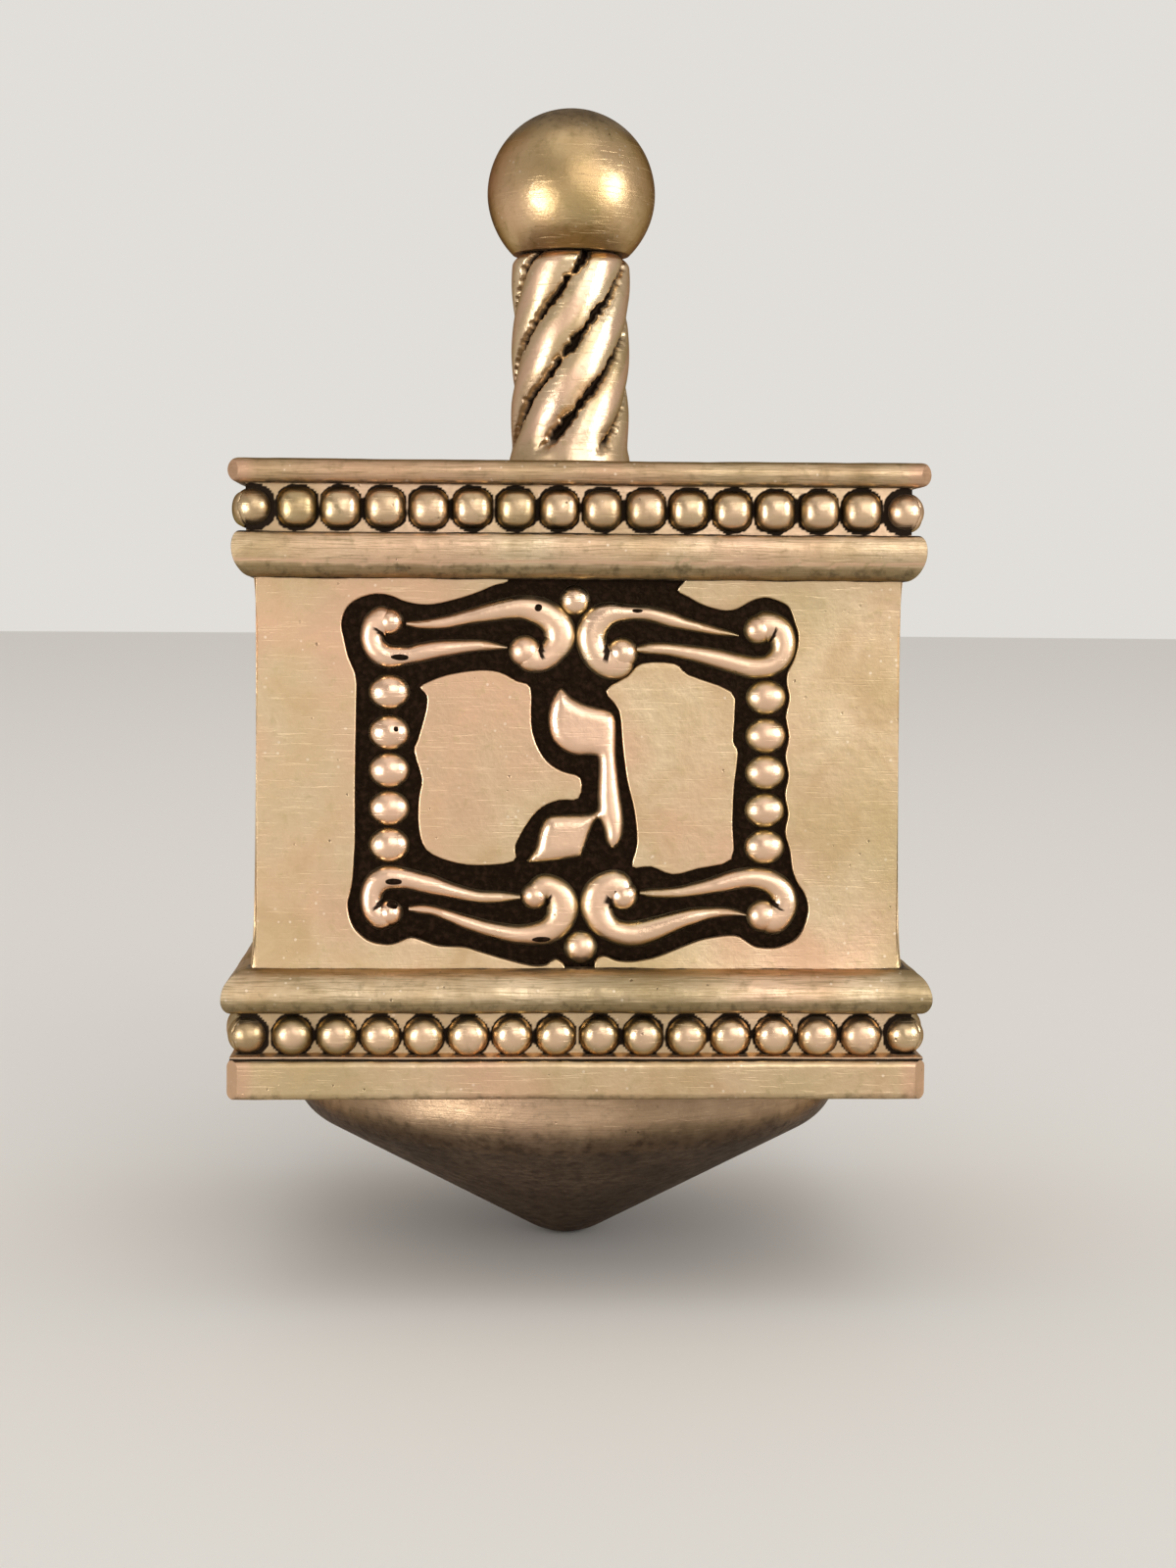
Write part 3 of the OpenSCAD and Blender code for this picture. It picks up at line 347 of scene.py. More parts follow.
# %% Strokes and edges, in millimetres
SCROLLS = {
    "top_left_outer": [
        (-13.2, 10.6, .78), (-13.65, 10.62, .74), (-14.15, 10.4, .66), (-14.44, 9.85, .56),
        (-14.43, 9.25, .55), (-14.15, 8.68, .58), (-13.68, 8.3, .6), (-13.1, 8.16, .58),
        (-11.85, 8.27, .48), (-11.05, 8.45, .5), (-9.92, 8.68, .48), (-8.79, 8.81, .42), (-7.82, 8.91, .36),
        (-6.85, 8.97, .31), (-5.89, 8.92, .21), (-5.05, 8.84, .04),
    ],
    "top_left_inner": [
        (-3.82, 8.6, .92), (-3.4, 8.2, .72), (-2.87, 8.0, .62), (-2.25, 8.25, .63), (-1.77, 8.71, .66),
        (-1.45, 9.2, .74), (-1.37, 9.73, .8), (-1.55, 10.4, .79), (-2.1, 11.0, .76), (-2.9, 11.42, .72),
        (-3.75, 11.6, .66), (-4.6, 11.6, .6), (-6.21, 11.3, .52), (-7.82, 10.94, .4), (-9.44, 10.56, .35),
        (-11.05, 10.41, .25), (-12.05, 10.47, .13),
    ],
    "top_right_outer": [
        (12.5, 10.2, .85), (12.95, 10.38, .76), (13.5, 10.4, .7), (14.04, 10.08, .66), (14.3, 9.4, .63),
        (14.27, 8.75, .62), (14.0, 8.2, .61), (13.55, 7.8, .59), (13.0, 7.6, .57), (12.1, 7.56, .58),
        (11.14, 7.77, .55), (9.68, 8.15, .52), (8.07, 8.49, .43), (6.46, 8.75, .36), (5.65, 8.82, .35),
        (4.85, 8.82, .31), (4.0, 8.78, .17),
    ],
    "top_right_inner": [
        (3.0, 8.5, .92), (2.7, 8.05, .9), (2.15, 7.87, .84), (1.5, 8.1, .74), (1.0, 8.7, .72),
        (.8, 9.6, .76), (1.05, 10.45, .76), (1.62, 11.02, .7), (2.26, 11.26, .58), (3.1, 11.32, .45),
        (4.04, 11.31, .38), (5.0, 11.23, .4), (6.46, 10.83, .42), (7.26, 10.59, .34), (8.88, 10.23, .27),
        (9.68, 10.05, .21), (10.49, 9.91, .14), (11.13, 9.76, .03),
    ],
    "bottom_left_outer": [
        (-13.2, -9.8, .78), (-13.72, -10.05, .64), (-14.22, -9.75, .58), (-14.47, -9.1, .55),
        (-14.45, -8.4, .56), (-14.15, -7.75, .6), (-13.6, -7.37, .62), (-12.9, -7.3, .6),
        (-11.85, -7.43, .54), (-11.05, -7.63, .52), (-10.24, -7.82, .52), (-9.44, -8.04, .45),
        (-8.63, -8.26, .4), (-7.18, -8.59, .35), (-6.21, -8.65, .34), (-5.24, -8.64, .3),
        (-4.05, -8.63, .15),
    ],
    "bottom_left_inner": [
        (-3.05, -8.55, .8), (-2.5, -7.95, .6), (-1.85, -7.98, .6), (-1.3, -8.5, .72), (-1.05, -9.35, .8),
        (-1.3, -10.3, .74), (-2.0, -11.0, .68), (-2.98, -11.26, .58), (-3.79, -11.3, .51),
        (-4.6, -11.25, .48), (-6.21, -10.92, .42), (-7.82, -10.43, .38), (-8.63, -10.13, .33),
        (-9.44, -9.85, .3), (-10.24, -9.6, .27), (-11.05, -9.51, .26), (-11.85, -9.47, .15),
    ],
    "bottom_right_outer": [
        (13.05, -9.95, .95), (13.75, -10.15, .78), (14.3, -9.8, .7), (14.6, -9.1, .66), (14.5, -8.45, .64),
        (14.15, -7.95, .62), (13.6, -7.55, .6), (12.9, -7.33, .56), (12.1, -7.26, .53), (11.14, -7.39, .52),
        (10.17, -7.64, .48), (9.2, -7.88, .41), (8.23, -8.08, .37), (7.26, -8.26, .32), (6.14, -8.35, .28),
        (5.17, -8.35, .25), (4.36, -8.31, .12),
    ],
    "bottom_right_inner": [
        (3.2, -8.55, .87), (2.75, -7.88, .76), (1.95, -7.98, .75), (1.48, -8.5, .82), (1.32, -9.35, .82),
        (1.68, -10.3, .72), (2.4, -10.93, .62), (3.23, -11.22, .64), (4.04, -11.26, .68),
        (4.85, -11.09, .66), (5.65, -10.83, .63), (7.26, -10.24, .5), (8.23, -9.98, .45), (9.2, -9.78, .34),
        (10.17, -9.69, .27), (11.14, -9.74, .18), (11.86, -9.88, .03),
    ],
}
LEFT_EDGE = [
    (-.85, -13.575), (-1.05, -13.26), (-1.53, -12.97), (-1.94, -13.18), (-2.3, -13.4), (-2.98, -13.45),
    (-3.79, -13.31), (-4.76, -13.07), (-5.89, -12.75), (-7.02, -12.41), (-7.98, -12.14), (-9.76, -12.05),
    (-10.73, -11.73), (-11.69, -11.46), (-12.5, -11.78), (-13.3, -11.97), (-14.44, -11.78),
    (-15.16, -11.33), (-15.73, -10.68), (-16.02, -9.88), (-16.1, -9.07), (-15.97, -8.43), (-15.76, -7.3),
    (-15.65, -5.5), (-15.6, -4.5), (-15.6, 0), (-15.5, 6.3), (-15.6, 7.0), (-16.1, 8.2), (-16.4, 9.5),
    (-16.55, 10.3), (-16.4, 11.1), (-16.0, 11.75), (-15.2, 12.25), (-14.2, 12.5), (-13.2, 12.4),
    (-12.0, 11.94), (-10.56, 11.77), (-9.1, 12.03), (-7.5, 12.5), (-5.9, 13.16), (-5.08, 13.35),
    (-5.0, 13.575),
]
RIGHT_EDGE = [
    (7.3, 13.575), (6.8, 12.9), (7.59, 12.42), (8.39, 11.98), (9.2, 11.69), (10.17, 11.5), (10.97, 11.61),
    (11.78, 12.06), (12.43, 12.34), (13.07, 12.42), (13.72, 12.26), (14.36, 11.98), (14.73, 11.6),
    (15.09, 10.61), (15.33, 9.81), (15.25, 8.84), (15.0, 8.03), (14.6, 7.23), (14.55, 6.4), (14.75, 5.4),
    (14.5, 4.1), (14.75, 2.7), (14.5, 1.35), (14.75, 0), (14.5, -1.35), (14.75, -2.7), (14.55, -4.0),
    (14.9, -5.3), (15.09, -6.65), (15.49, -7.62), (15.97, -8.35), (16.22, -9.23), (16.14, -10.04),
    (15.81, -11.0), (15.33, -11.6), (14.68, -11.95), (13.96, -12.17), (13.07, -12.17), (12.43, -12.05),
    (11.78, -11.65), (11.3, -11.36), (10.65, -11.3), (9.68, -11.41), (8.55, -11.65), (7.26, -12.14),
    (5.65, -12.78), (4.68, -13.02), (3.72, -13.15), (2.75, -13.07), (2.0, -12.78), (1.5, -12.85),
    (1.2, -13.2), (1.17, -13.575),
]
print(len(SCROLLS), "scrolls")

# %% [markdown]
# The letters are the four traditional marks of the game, one to a side. Beside a narrow letter
# lie two wide windows of bare metal that follow it, and beside a wide letter two plain ones.

# %% Letters and windows, in millimetres
LETTERS = {
    "front": [[
        (-1.22, 6.03), (-.49, 5.41), (.49, 4.92), (2.05, 4.5), (2.59, 3.75), (2.65, 1.31), (2.95, -1.36),
        (3.19, -3.15), (3.05, -4.55), (2.46, -5.25), (1.96, -4.79), (1.74, -3.81), (1.36, -3.15),
        (.9, -3.9), (.35, -5.49), (-.09, -5.86), (-3.44, -6.24), (-3.01, -5.17), (-2.7, -3.81),
        (-2.15, -2.95), (-.98, -2.81), (1.14, -2.65), (1.3, -1.36), (1.36, .94), (.98, 1.31), (-.09, 1.31),
        (-.98, 1.6), (-1.8, 2.34), (-2.15, 3.4), (-2.09, 4.65), (-1.7, 5.66),
    ]],
    "right": [[
        (-1.48, 6.03), (-.61, 5.41), (.37, 4.92), (1.85, 4.5), (2.39, 3.69), (2.46, 1.23), (2.65, -1.48),
        (2.83, -4.05), (2.58, -5.29), (1.72, -5.84), (-.24, -5.9), (-3.33, -6.24), (-2.89, -5.17),
        (-2.58, -4.05), (-1.97, -3.39), (-.61, -3.22), (.73, -3.07), (1.05, -1.36), (1.1, .94), (.73, 1.31),
        (-.37, 1.31), (-1.22, 1.6), (-1.97, 2.34), (-2.34, 3.4), (-2.27, 4.65), (-1.9, 5.66),
    ]],
    "left": [[
        (-4.18, 5.9), (-3.19, 5.17), (-1.48, 4.92), (2.46, 4.86), (3.82, 4.43), (4.31, 3.32), (4.18, .62),
        (4.24, -2.46), (4.5, -4.79), (3.94, -5.66), (3.19, -5.29), (2.77, -3.69), (2.65, -.62),
        (2.65, 1.48), (2.21, 2.03), (0, 2.09), (-2.46, 2.09), (-3.68, 2.46), (-4.55, 3.57), (-4.55, 4.92),
    ], [
        (-3.33, .74), (-2.58, 1.1), (-1.85, .62), (-1.85, -1.84), (-2.15, -4.31), (-2.7, -5.66),
        (-3.44, -5.53), (-3.82, -4.31), (-3.63, -1.84),
    ]],
    "back": [[
        (-5.16, 5.9), (-4.43, 5.29), (-3.33, 4.92), (-2.83, 3.69), (-3.33, 1.72), (-3.19, -.74),
        (-2.21, -2.71), (-.98, -1.84), (-.24, .5), (-.73, 2.46), (-.98, 3.93), (-.61, 5.53), (.24, 5.17),
        (1.22, 4.67), (1.6, 3.19), (1.1, .74), (.73, -1.72), (1.6, -2.83), (2.95, -1.72), (3.44, .74),
        (2.95, 2.71), (2.95, 4.19), (3.44, 5.66), (4.43, 5.05), (5.41, 4.43), (5.53, 2.71), (5.04, -.24),
        (4.18, -2.95), (2.7, -4.79), (.24, -5.78), (-2.21, -5.53), (-3.94, -4.43), (-4.8, -2.21),
        (-4.92, .5), (-5.16, 2.46), (-5.65, 3.93),
    ]],
}
WIDE_LEFT = [
    (-11.1, 6.05), (-10.64, 5.45), (-10.71, 4.36), (-11.24, 2.42), (-11.5, 1.57), (-10.97, -.36),
    (-11.17, -1.69), (-11.17, -3.75), (-10.64, -5.32), (-9.04, -6.11), (-7.05, -6.41), (-4.52, -6.11),
    (-4.39, -4.96), (-3.46, -3.27), (-2.53, -2.3), (-1.33, -1.81), (0, -1.69), (.13, -.24), (-1.2, .24),
    (-2.26, .97), (-2.99, 2.18), (-3.33, 3.63), (-3.39, 6.05), (-4.39, 6.53), (-5.59, 7.14), (-7.05, 7.26),
    (-9.04, 6.96), (-10.31, 6.53),
]
WIDE_RIGHT = [
    (1.86, 5.87), (3.39, 6.9), (4.39, 7.8), (6.65, 7.8), (7.65, 7.02), (10.64, 5.87), (10.91, 4.24),
    (10.84, 2.36), (11.17, 1.57), (10.91, -.97), (10.84, -3.51), (10.77, -5.93), (8.45, -6.59),
    (6.65, -7.02), (5.12, -6.47), (3.79, -6.47), (4.12, -4.84), (3.92, -2.54), (3.39, -.36), (3.06, 2.06),
    (2.79, 4.48),
]
NARROW_LEFT = [
    (-11.1, 6.05), (-10.64, 5.45), (-10.77, 3.63), (-11.3, 1.69), (-10.97, -.36), (-11.17, -3.75),
    (-10.64, -5.32), (-9.04, -6.11), (-7.05, -6.41), (-6.65, -4.84), (-6.38, -1.81), (-6.52, 1.21),
    (-6.65, 4.24), (-7.05, 6.65), (-9.04, 6.96), (-10.31, 6.53),
]
NARROW_RIGHT = [(-x, z) for x, z in NARROW_LEFT]
WINDOWS = {"front": (WIDE_LEFT, WIDE_RIGHT), "right": (WIDE_LEFT, WIDE_RIGHT),
           "back": (NARROW_LEFT, NARROW_RIGHT), "left": (NARROW_LEFT, NARROW_RIGHT)}
COLUMN_BEADS = [(-13.25, z) for z in (5.7, 2.86, .23, -2.43, -5.02)]
COLUMN_BEADS += [(13.13, z) for z in (5.45, 2.76, .17, -2.49, -5.08)]
CENTRE_BEADS = [(-.33, 12.16, 1.0), (.22, -12.22, 1.1)]
print(len(LETTERS), "letters")

# %% [markdown]
# ## Cast panels
# A real panel comes out of the mould in one piece: a flat field, cut away round the ornament. An
# outline here is one flat face. Extruding it makes a wall, and a few small insets, each a little
# higher, round its rim as polishing does. Cutting the field across at many heights lets it take
# the panel's slight flare.

# %% Outlines and raised shapes


def smooth_line(points, steps, closed):
    """A smooth curve through given points of any number of coordinates."""
    n = len(points)
    rows = [Vector(p) for p in points]
    at = (lambda i: rows[i % n]) if closed else (lambda i: rows[min(max(i, 0), n - 1)])
    curve = []
    for i in range(n if closed else n - 1):
        a, b, c, d = (at(i + k) for k in (-1, 0, 1, 2))
        for k in range(steps):
            t = k / steps
            bend, twist = 2 * a - 5 * b + 4 * c - d, 3 * b - a - 3 * c + d
            curve.append((2 * b + (c - a) * t + bend * t * t + twist * t ** 3) / 2)
    return curve if closed else curve + [rows[-1]]


def spaced(outline, apart=0.12):
    """Leaves out points that lie so close that an inset would fold between them."""
    kept = [outline[0]]
    for p in outline[1:]:
        if math.dist(p[:2], kept[-1][:2]) > apart:
            kept.append(p)
    return kept


def raised_shape(bm, outline, rim):
    """A closed outline as a solid. rim is a list of (how far in, depth) from the wall's top inwards."""
    face = bm.faces.new([bm.verts.new((p[0], -FOOT, MIDDLE + p[1])) for p in spaced(outline)])
    grown = bmesh.ops.extrude_face_region(bm, geom=[face])["geom"]
    top = next(g for g in grown if isinstance(g, bmesh.types.BMFace))
    for v in top.verts:
        v.co.y = -rim[0][1]
    for inset, depth in rim[1:]:
        bmesh.ops.inset_region(bm, faces=[top], thickness=inset, use_even_offset=False)
        for v in top.verts:
            v.co.y = -depth


def slice_through(bm, axis, place):
    """Divides every face that a plane square to the axis meets."""
    co, no = [0, 0, 0], [0, 0, 0]
    co[axis], no[axis] = place, 1
    bmesh.ops.bisect_plane(bm, geom=bm.verts[:] + bm.edges[:] + bm.faces[:], plane_co=co, plane_no=no)


def unit_ball(rings):
    """A ball of radius 1 with its poles towards and away from the eye. It is made once and then copied."""
    bm = blank()
    bmesh.ops.create_uvsphere(bm, u_segments=28, v_segments=rings, radius=1,
                              matrix=Matrix.Rotation(math.pi / 2, 4, "X"))
    mesh = bpy.data.meshes.new("unit_ball")
    bm.to_mesh(mesh)
    bm.free()
    return mesh


UNIT_BALLS = {rings: unit_ball(rings) for rings in (10, 18, 24)}


def bead(bm, x, z, depth, radii, metal=1, rings=18):
    old = set(bm.verts)
    bm.from_mesh(UNIT_BALLS[rings])
    made = [v for v in bm.verts if v not in old]
    to_place = Matrix.Translation((x, -depth, z)) @ Matrix.Diagonal((*radii, 1))
    bmesh.ops.transform(bm, matrix=to_place, verts=made)
    for f in {f for v in made for f in v.link_faces}:
        f.material_index = metal
    return made


# %% [markdown]
# A letter has narrow feet, where insets would cross each other. So its top is cut into small
# tiles instead, and each corner of a tile rises with its distance from the letter's edge, which
# gives the soft cushion of a cast letter.

# %% Letters


def gap_to(p, a, b):
    """How far p is from the straight line between a and b."""
    along = (p - a).dot(b - a) / max((b - a).length_squared, 1e-9)
    return (p - a - (b - a) * min(max(along, 0), 1)).length


def letter(bm, outline, edge=22.2, top=22.9, shoulder=0.95, tile=0.17):
    work = blank()
    face = work.faces.new([work.verts.new((p[0], -FOOT, MIDDLE + p[1])) for p in spaced(outline, 0.05)])
    grown = bmesh.ops.extrude_face_region(work, geom=[face])["geom"]
    for v in next(g for g in grown if isinstance(g, bmesh.types.BMFace)).verts:
        v.co.y = -edge
    for axis, half, middle in ((0, 6, 0), (2, 7, MIDDLE)):
        for k in range(int(2 * half / tile)):
            slice_through(work, axis, middle - half + tile * k)
    rim = [(Vector((a[0], a[1])), Vector((b[0], b[1]))) for a, b in zip(outline, outline[1:] + outline[:1])]
    for v in work.verts:
        if v.co.y < -edge + 0.01:
            gap = min(gap_to(Vector((v.co.x, v.co.z - MIDDLE)), a, b) for a, b in rim)
            v.co.y = -edge - (top - edge) * math.sqrt(1 - (1 - min(gap / shoulder, 1)) ** 2)
    for f in work.faces:
        f.material_index = 1
    bmesh.ops.recalc_face_normals(work, faces=work.faces)
    mesh = bpy.data.meshes.new("letter")
    work.to_mesh(mesh)
    work.free()
    bm.from_mesh(mesh)
    bpy.data.meshes.remove(mesh)


# %% [markdown]
# A scroll is a wire with a flattened, rounded section that swells and thins. A grid becomes that
# wire: one way along the stroke and the other way round the section, and its seam is merged.
# The head is a round ball that the stroke grows out of, and where the stroke's curl passes the
# head again it is dark between them.

# %% Scrolls
CURL_END = 11  # the steps of a stroke that still lie under its head


def scroll(bm, stroke, top=22.86):
    hx, hz, head = stroke[0]
    path = smooth_line([(hx, hz, head * 0.6)] + stroke[1:], 5, False)
    along, around, head = len(path) - 1, 18, head * 1.26
    soot_and_painted_shade = bm.verts.layers.float["soot_and_painted_shade"]
    made = bmesh.ops.create_grid(bm, x_segments=along, y_segments=around, size=1)["verts"]
    for v in made:
        i, angle = round((v.co.x + 1) / 2 * along), math.pi * (v.co.y + 1)
        x, z, half = path[i]
        half = half * (1.5 - 0.25 * i / along) + 0.06
        step = path[min(i + 1, along)] - path[max(i - 1, 0)]
        normal = Vector((-step[1], step[0])).normalized()
        out = math.copysign(abs(math.cos(angle)) ** 0.85, math.cos(angle)) * half
        rise = abs(math.sin(angle)) ** 0.85
        crest = min(top, ENAMEL + 0.34 + 0.62 * half)
        depth = GROUND + (crest - GROUND) * rise if math.sin(angle) > 0 else GROUND - 0.2 * rise
        v.co = (x + normal[0] * out, -depth, MIDDLE + z + normal[1] * out)
        if i > CURL_END:
            v[soot_and_painted_shade] = ease(head + 0.26, head + 0.1, math.hypot(v.co.x - hx, v.co.z - MIDDLE - hz))
        for f in v.link_faces:
            f.material_index = 1
    bmesh.ops.remove_doubles(bm, verts=made, dist=0.0005)
    ends = dict.fromkeys(e for v in made if v.is_valid for e in v.link_edges if e.is_boundary)
    bmesh.ops.holes_fill(bm, edges=list(ends), sides=0)
    bead(bm, hx, MIDDLE + hz, 21.9, (head, 1.1, head))


def ornament_wear_and_shade(v):
    """(soot_and_painted_shade, tone_and_painted_light) of what stands on the ground: dirty at its foot,
    rubbed on its crest, and film-toned on its flanks as painted shade.
    """
    depth = -v.co.y
    return ease(22.28, 22.06, depth), ease(22.5, 22.85, depth) - 0.9 * ease(22.62, 22.3, depth)


# %% [markdown]
# A panel is then put together: the bare field left and right of the ground, the two windows in
# the ground, the wall behind it all, and the letter, the scrolls and the beads on top.

# %% Build the four panels
FLARE_CUTS = (-.98, -.94, -.88, -.8, -.7, -.55, -.3, 0, .3, .55, .7, .8, .88, .94, .98)


def panel(side, turn):
    bm = blank()
    high = HALF_SHOW + 0.6
    left = [(-BODY, -high), (-BODY, high), (LEFT_EDGE[-1][0], high)]
    left += [tuple(p) for p in reversed(smooth_line(LEFT_EDGE, 3, False))] + [(LEFT_EDGE[0][0], -high)]
    right = [(BODY, high), (BODY, -high), (RIGHT_EDGE[-1][0], -high)]
    right += [tuple(p) for p in reversed(smooth_line(RIGHT_EDGE, 3, False))] + [(RIGHT_EDGE[0][0], high)]
    rim = [(0, 22.36), (0.03, 22.45), (0.05, 22.49), (0.06, BODY)]
    for outline in (left, right, *[smooth_line(w, 3, True) for w in WINDOWS[side]]):
        raised_shape(bm, outline, rim)
    for t in FLARE_CUTS:
        slice_through(bm, 2, MIDDLE + HALF_SHOW * t)
    for v in bm.verts:
        v.co.y -= face_depth(v.co.z) - BODY
        if abs(v.co.x) > BODY - 0.02:
            v.co.x = math.copysign(-v.co.y - 0.02, v.co.x)
    stain(bm, lambda v: (ease(22.44, 22.2, -v.co.y - face_depth(v.co.z) + BODY), 0))
    field = bmesh.ops.create_cube(bm, size=1)["verts"]
    for v in field:
        depth = GROUND if v.co.y < 0 else INNER
        v.co = (math.copysign(depth, v.co.x), -depth, BASE_TOP if v.co.z < 0 else UPPER_BEADS_TOP)
    base = set(bm.verts)
    for part in LETTERS[side]:
        letter(bm, smooth_line(part, 4, True))
    for stroke in SCROLLS.values():
        scroll(bm, stroke)
    for x, z in COLUMN_BEADS:
        bead(bm, x, MIDDLE + z, 21.85, (1.5, 1.1, 1.29))
    for x, z, r in CENTRE_BEADS:
        bead(bm, x, MIDDLE + z, 21.85, (r * 1.12, 1.05, r * 1.12))
    soot_and_painted_shade, tone_and_painted_light = bm.verts.layers.float["soot_and_painted_shade"], bm.verts.layers.float["tone_and_painted_light"]
    for v in bm.verts:
        if v not in base:
            dirt, v[tone_and_painted_light] = ornament_wear_and_shade(v)
            v[soot_and_painted_shade] = max(v[soot_and_painted_shade], dirt)
    metals = [cast_alloy, rubbed_alloy]
    write_piece(bm, side + "_panel_casting", metals, side + "_panel", turn)


for side, turn in SIDES.items():
    panel(side, turn)

# %% [markdown]
# ## Enamel
# The enamel floods the sunk ground, so it is one thin sheet that the castings stand through.
# Its skin rises and sinks a little, as fired glass does, and small dark drops have stuck to the
# front's scrolls where the casting has holes.

# %% The enamel sheets
DROPS = [(-12.5, 8.15, .8, .26), (-2.9, 11.6, .33, .3), (-12.9, -7.5, .75, .26), (-13.0, -9.2, .4, .35),
         (-2.6, -11.55, .7, .22), (-12.8, 3.1, .26, .26), (4.0, 11.45, .4, .14)]


def enamel_sheet(side, turn):
    bm = blank()
    bmesh.ops.create_grid(bm, x_segments=90, y_segments=70, size=1)
    for v in bm.verts:
        x, z = v.co.x * 17.2, v.co.y * (HALF_SHOW + 0.2)
        place = Vector((x, z, turn))
        swell = noise.noise(place / 2.2) * 0.06 + noise.noise(place / 0.7) * 0.03
        v.co = (x, -ENAMEL - swell, MIDDLE + z)
    back = bmesh.ops.extrude_face_region(bm, geom=bm.faces[:])["geom"]
    bmesh.ops.translate(bm, vec=(0, 0.25, 0), verts=[g for g in back if isinstance(g, bmesh.types.BMVert)])
    if side == "front":
        for x, z, wide, tall in DROPS:
            bead(bm, x, MIDDLE + z, 22.72, (wide, 0.2, tall), metal=0, rings=10)
    write_piece(bm, side + "_enamel_fill", [enamel], side + "_enamel", turn)


for side, turn in SIDES.items():
    enamel_sheet(side, turn)

# %% [markdown]
# ## Mouldings
# A moulding is a bar with one profile, mitred at both ends. The profile is a face that is
# extruded along the side and divided. Scaling each point's place along the bar by its depth
# makes the 45 degree mitre by itself. The upper bar's underside is painted shade that ends in a
# ragged, rubbed line, and the lower bar is painted a little darker all over and darker on its
# lower part, as painted shade.

# %% Mitred bars


def arc(x, z, rx, rz, start, end, n):
    turns = [math.radians(start + (end - start) * i / n) for i in range(n + 1)]
    return [(x + rx * math.cos(a), z + rz * math.sin(a)) for a in turns]


def mitred_bar(bm, profile, parts):
    face = bm.faces.new([bm.verts.new((-1, -depth, z)) for depth, z in profile])
    far = bmesh.ops.extrude_face_region(bm, geom=[face])["geom"]
    bmesh.ops.translate(bm, vec=(2, 0, 0), verts=[g for g in far if isinstance(g, bmesh.types.BMVert)])
    runs = [e for e in bm.edges if abs(e.verts[0].co.x - e.verts[1].co.x) > 1]
    bmesh.ops.subdivide_edges(bm, edges=runs, cuts=parts - 1, use_grid_fill=True)
    for v in bm.verts:
        v.co.x *= -v.co.y - 0.01


def moulding(side, turn, which, edge, up, height, crest):
    """Up is 1 where the bar rises from the panel's edge and -1 where it hangs."""
    face = face_depth(edge)
    swell_h, out = height * 0.66, crest - face
    profile = [(SEAT, 0)] + arc(face, swell_h, out, swell_h, -90, 0, 14)
    profile += arc(crest - out * 0.4, swell_h, out * 0.4, height - swell_h, 0, 90, 8)[1:] + [(SEAT, height)]
    bm = blank()
    mitred_bar(bm, [(d, edge + up * h) for d, h in profile], 200)
    wobble(bm, 0.07, 5, turn)
    wobble(bm, 0.03, 1.1, turn)

    def wear_and_shade(v):
        h = (v.co.z - edge) * up
        rag = 0.22 * noise.noise(Vector((v.co.x / 1.3, turn, which == "upper")))
        rag += 0.12 * noise.noise(Vector((v.co.x / .4, turn, 3)))
        # The upper bar's underside is painted shade: soot and film below a ragged, rubbed line.
        if which == "upper":
            under = ease(1.15 + rag, 0.75 + rag, h)
            lip = ease(height - 0.2, height, h) * 0.9
            return max(under * 0.3, lip, ease(0.2, 0, h) * 0.8), 1 if abs(h - 1.2 - rag) < 0.1 else -under
        # The lower bar is painted a little darker all over and darker on its lower part, as painted shade; a
        # band 1.2 mm along the profile is rubbed brighter.
        low = ease(1.9 + rag, 2.5 + rag, h)
        dirt = max(low * 0.3, ease(0.1, 0, h) * 0.7, ease(height - 0.12, height, h) * 0.8)
        return dirt, 0.3 * ease(1.0, 0.3, abs(h - 1.2)) - 0.25 - low

    stain(bm, wear_and_shade)
    name = f"{side}_{which}_moulding"
    write_piece(bm, name + "_bar", [bar_alloy], name, turn)


for side, turn in SIDES.items():
    moulding(side, turn, "upper", PANEL_HIGH, 1, UPPER_BEADS_LOW - PANEL_HIGH, 24.05)
    moulding(side, turn, "lower", PANEL_LOW, -1, PANEL_LOW - BEADS_TOP, 24.775)

# %% [markdown]
# ## Beaded strips
# Each strip is a flat wall with sixteen half-sunk beads. The upper beads came out of the mould
# as soft squares with a flat rim and a dome on it, and the lower ones are plain round. The wall
# close round each bead is dark, partly dirt and partly painted shade in the crevice, and the wall
# stays bright in the corners between them. The upper domes have a painted highlight in the middle
# and painted shade in a dark ring at the rim, and the lower beads have a painted highlight in the
# middle and painted shade on their lower half.

# %% Beaded strips
BEADS, END_INSET = 16, 0.55


def outline_distance(x, z, power, radius):
    """How far a place on the wall lies outside a bead's outline."""
    reach = (abs(x) ** power + abs(z) ** power) ** (1 / power)
    return math.hypot(x, z) * (1 - radius / max(reach, 0.001))


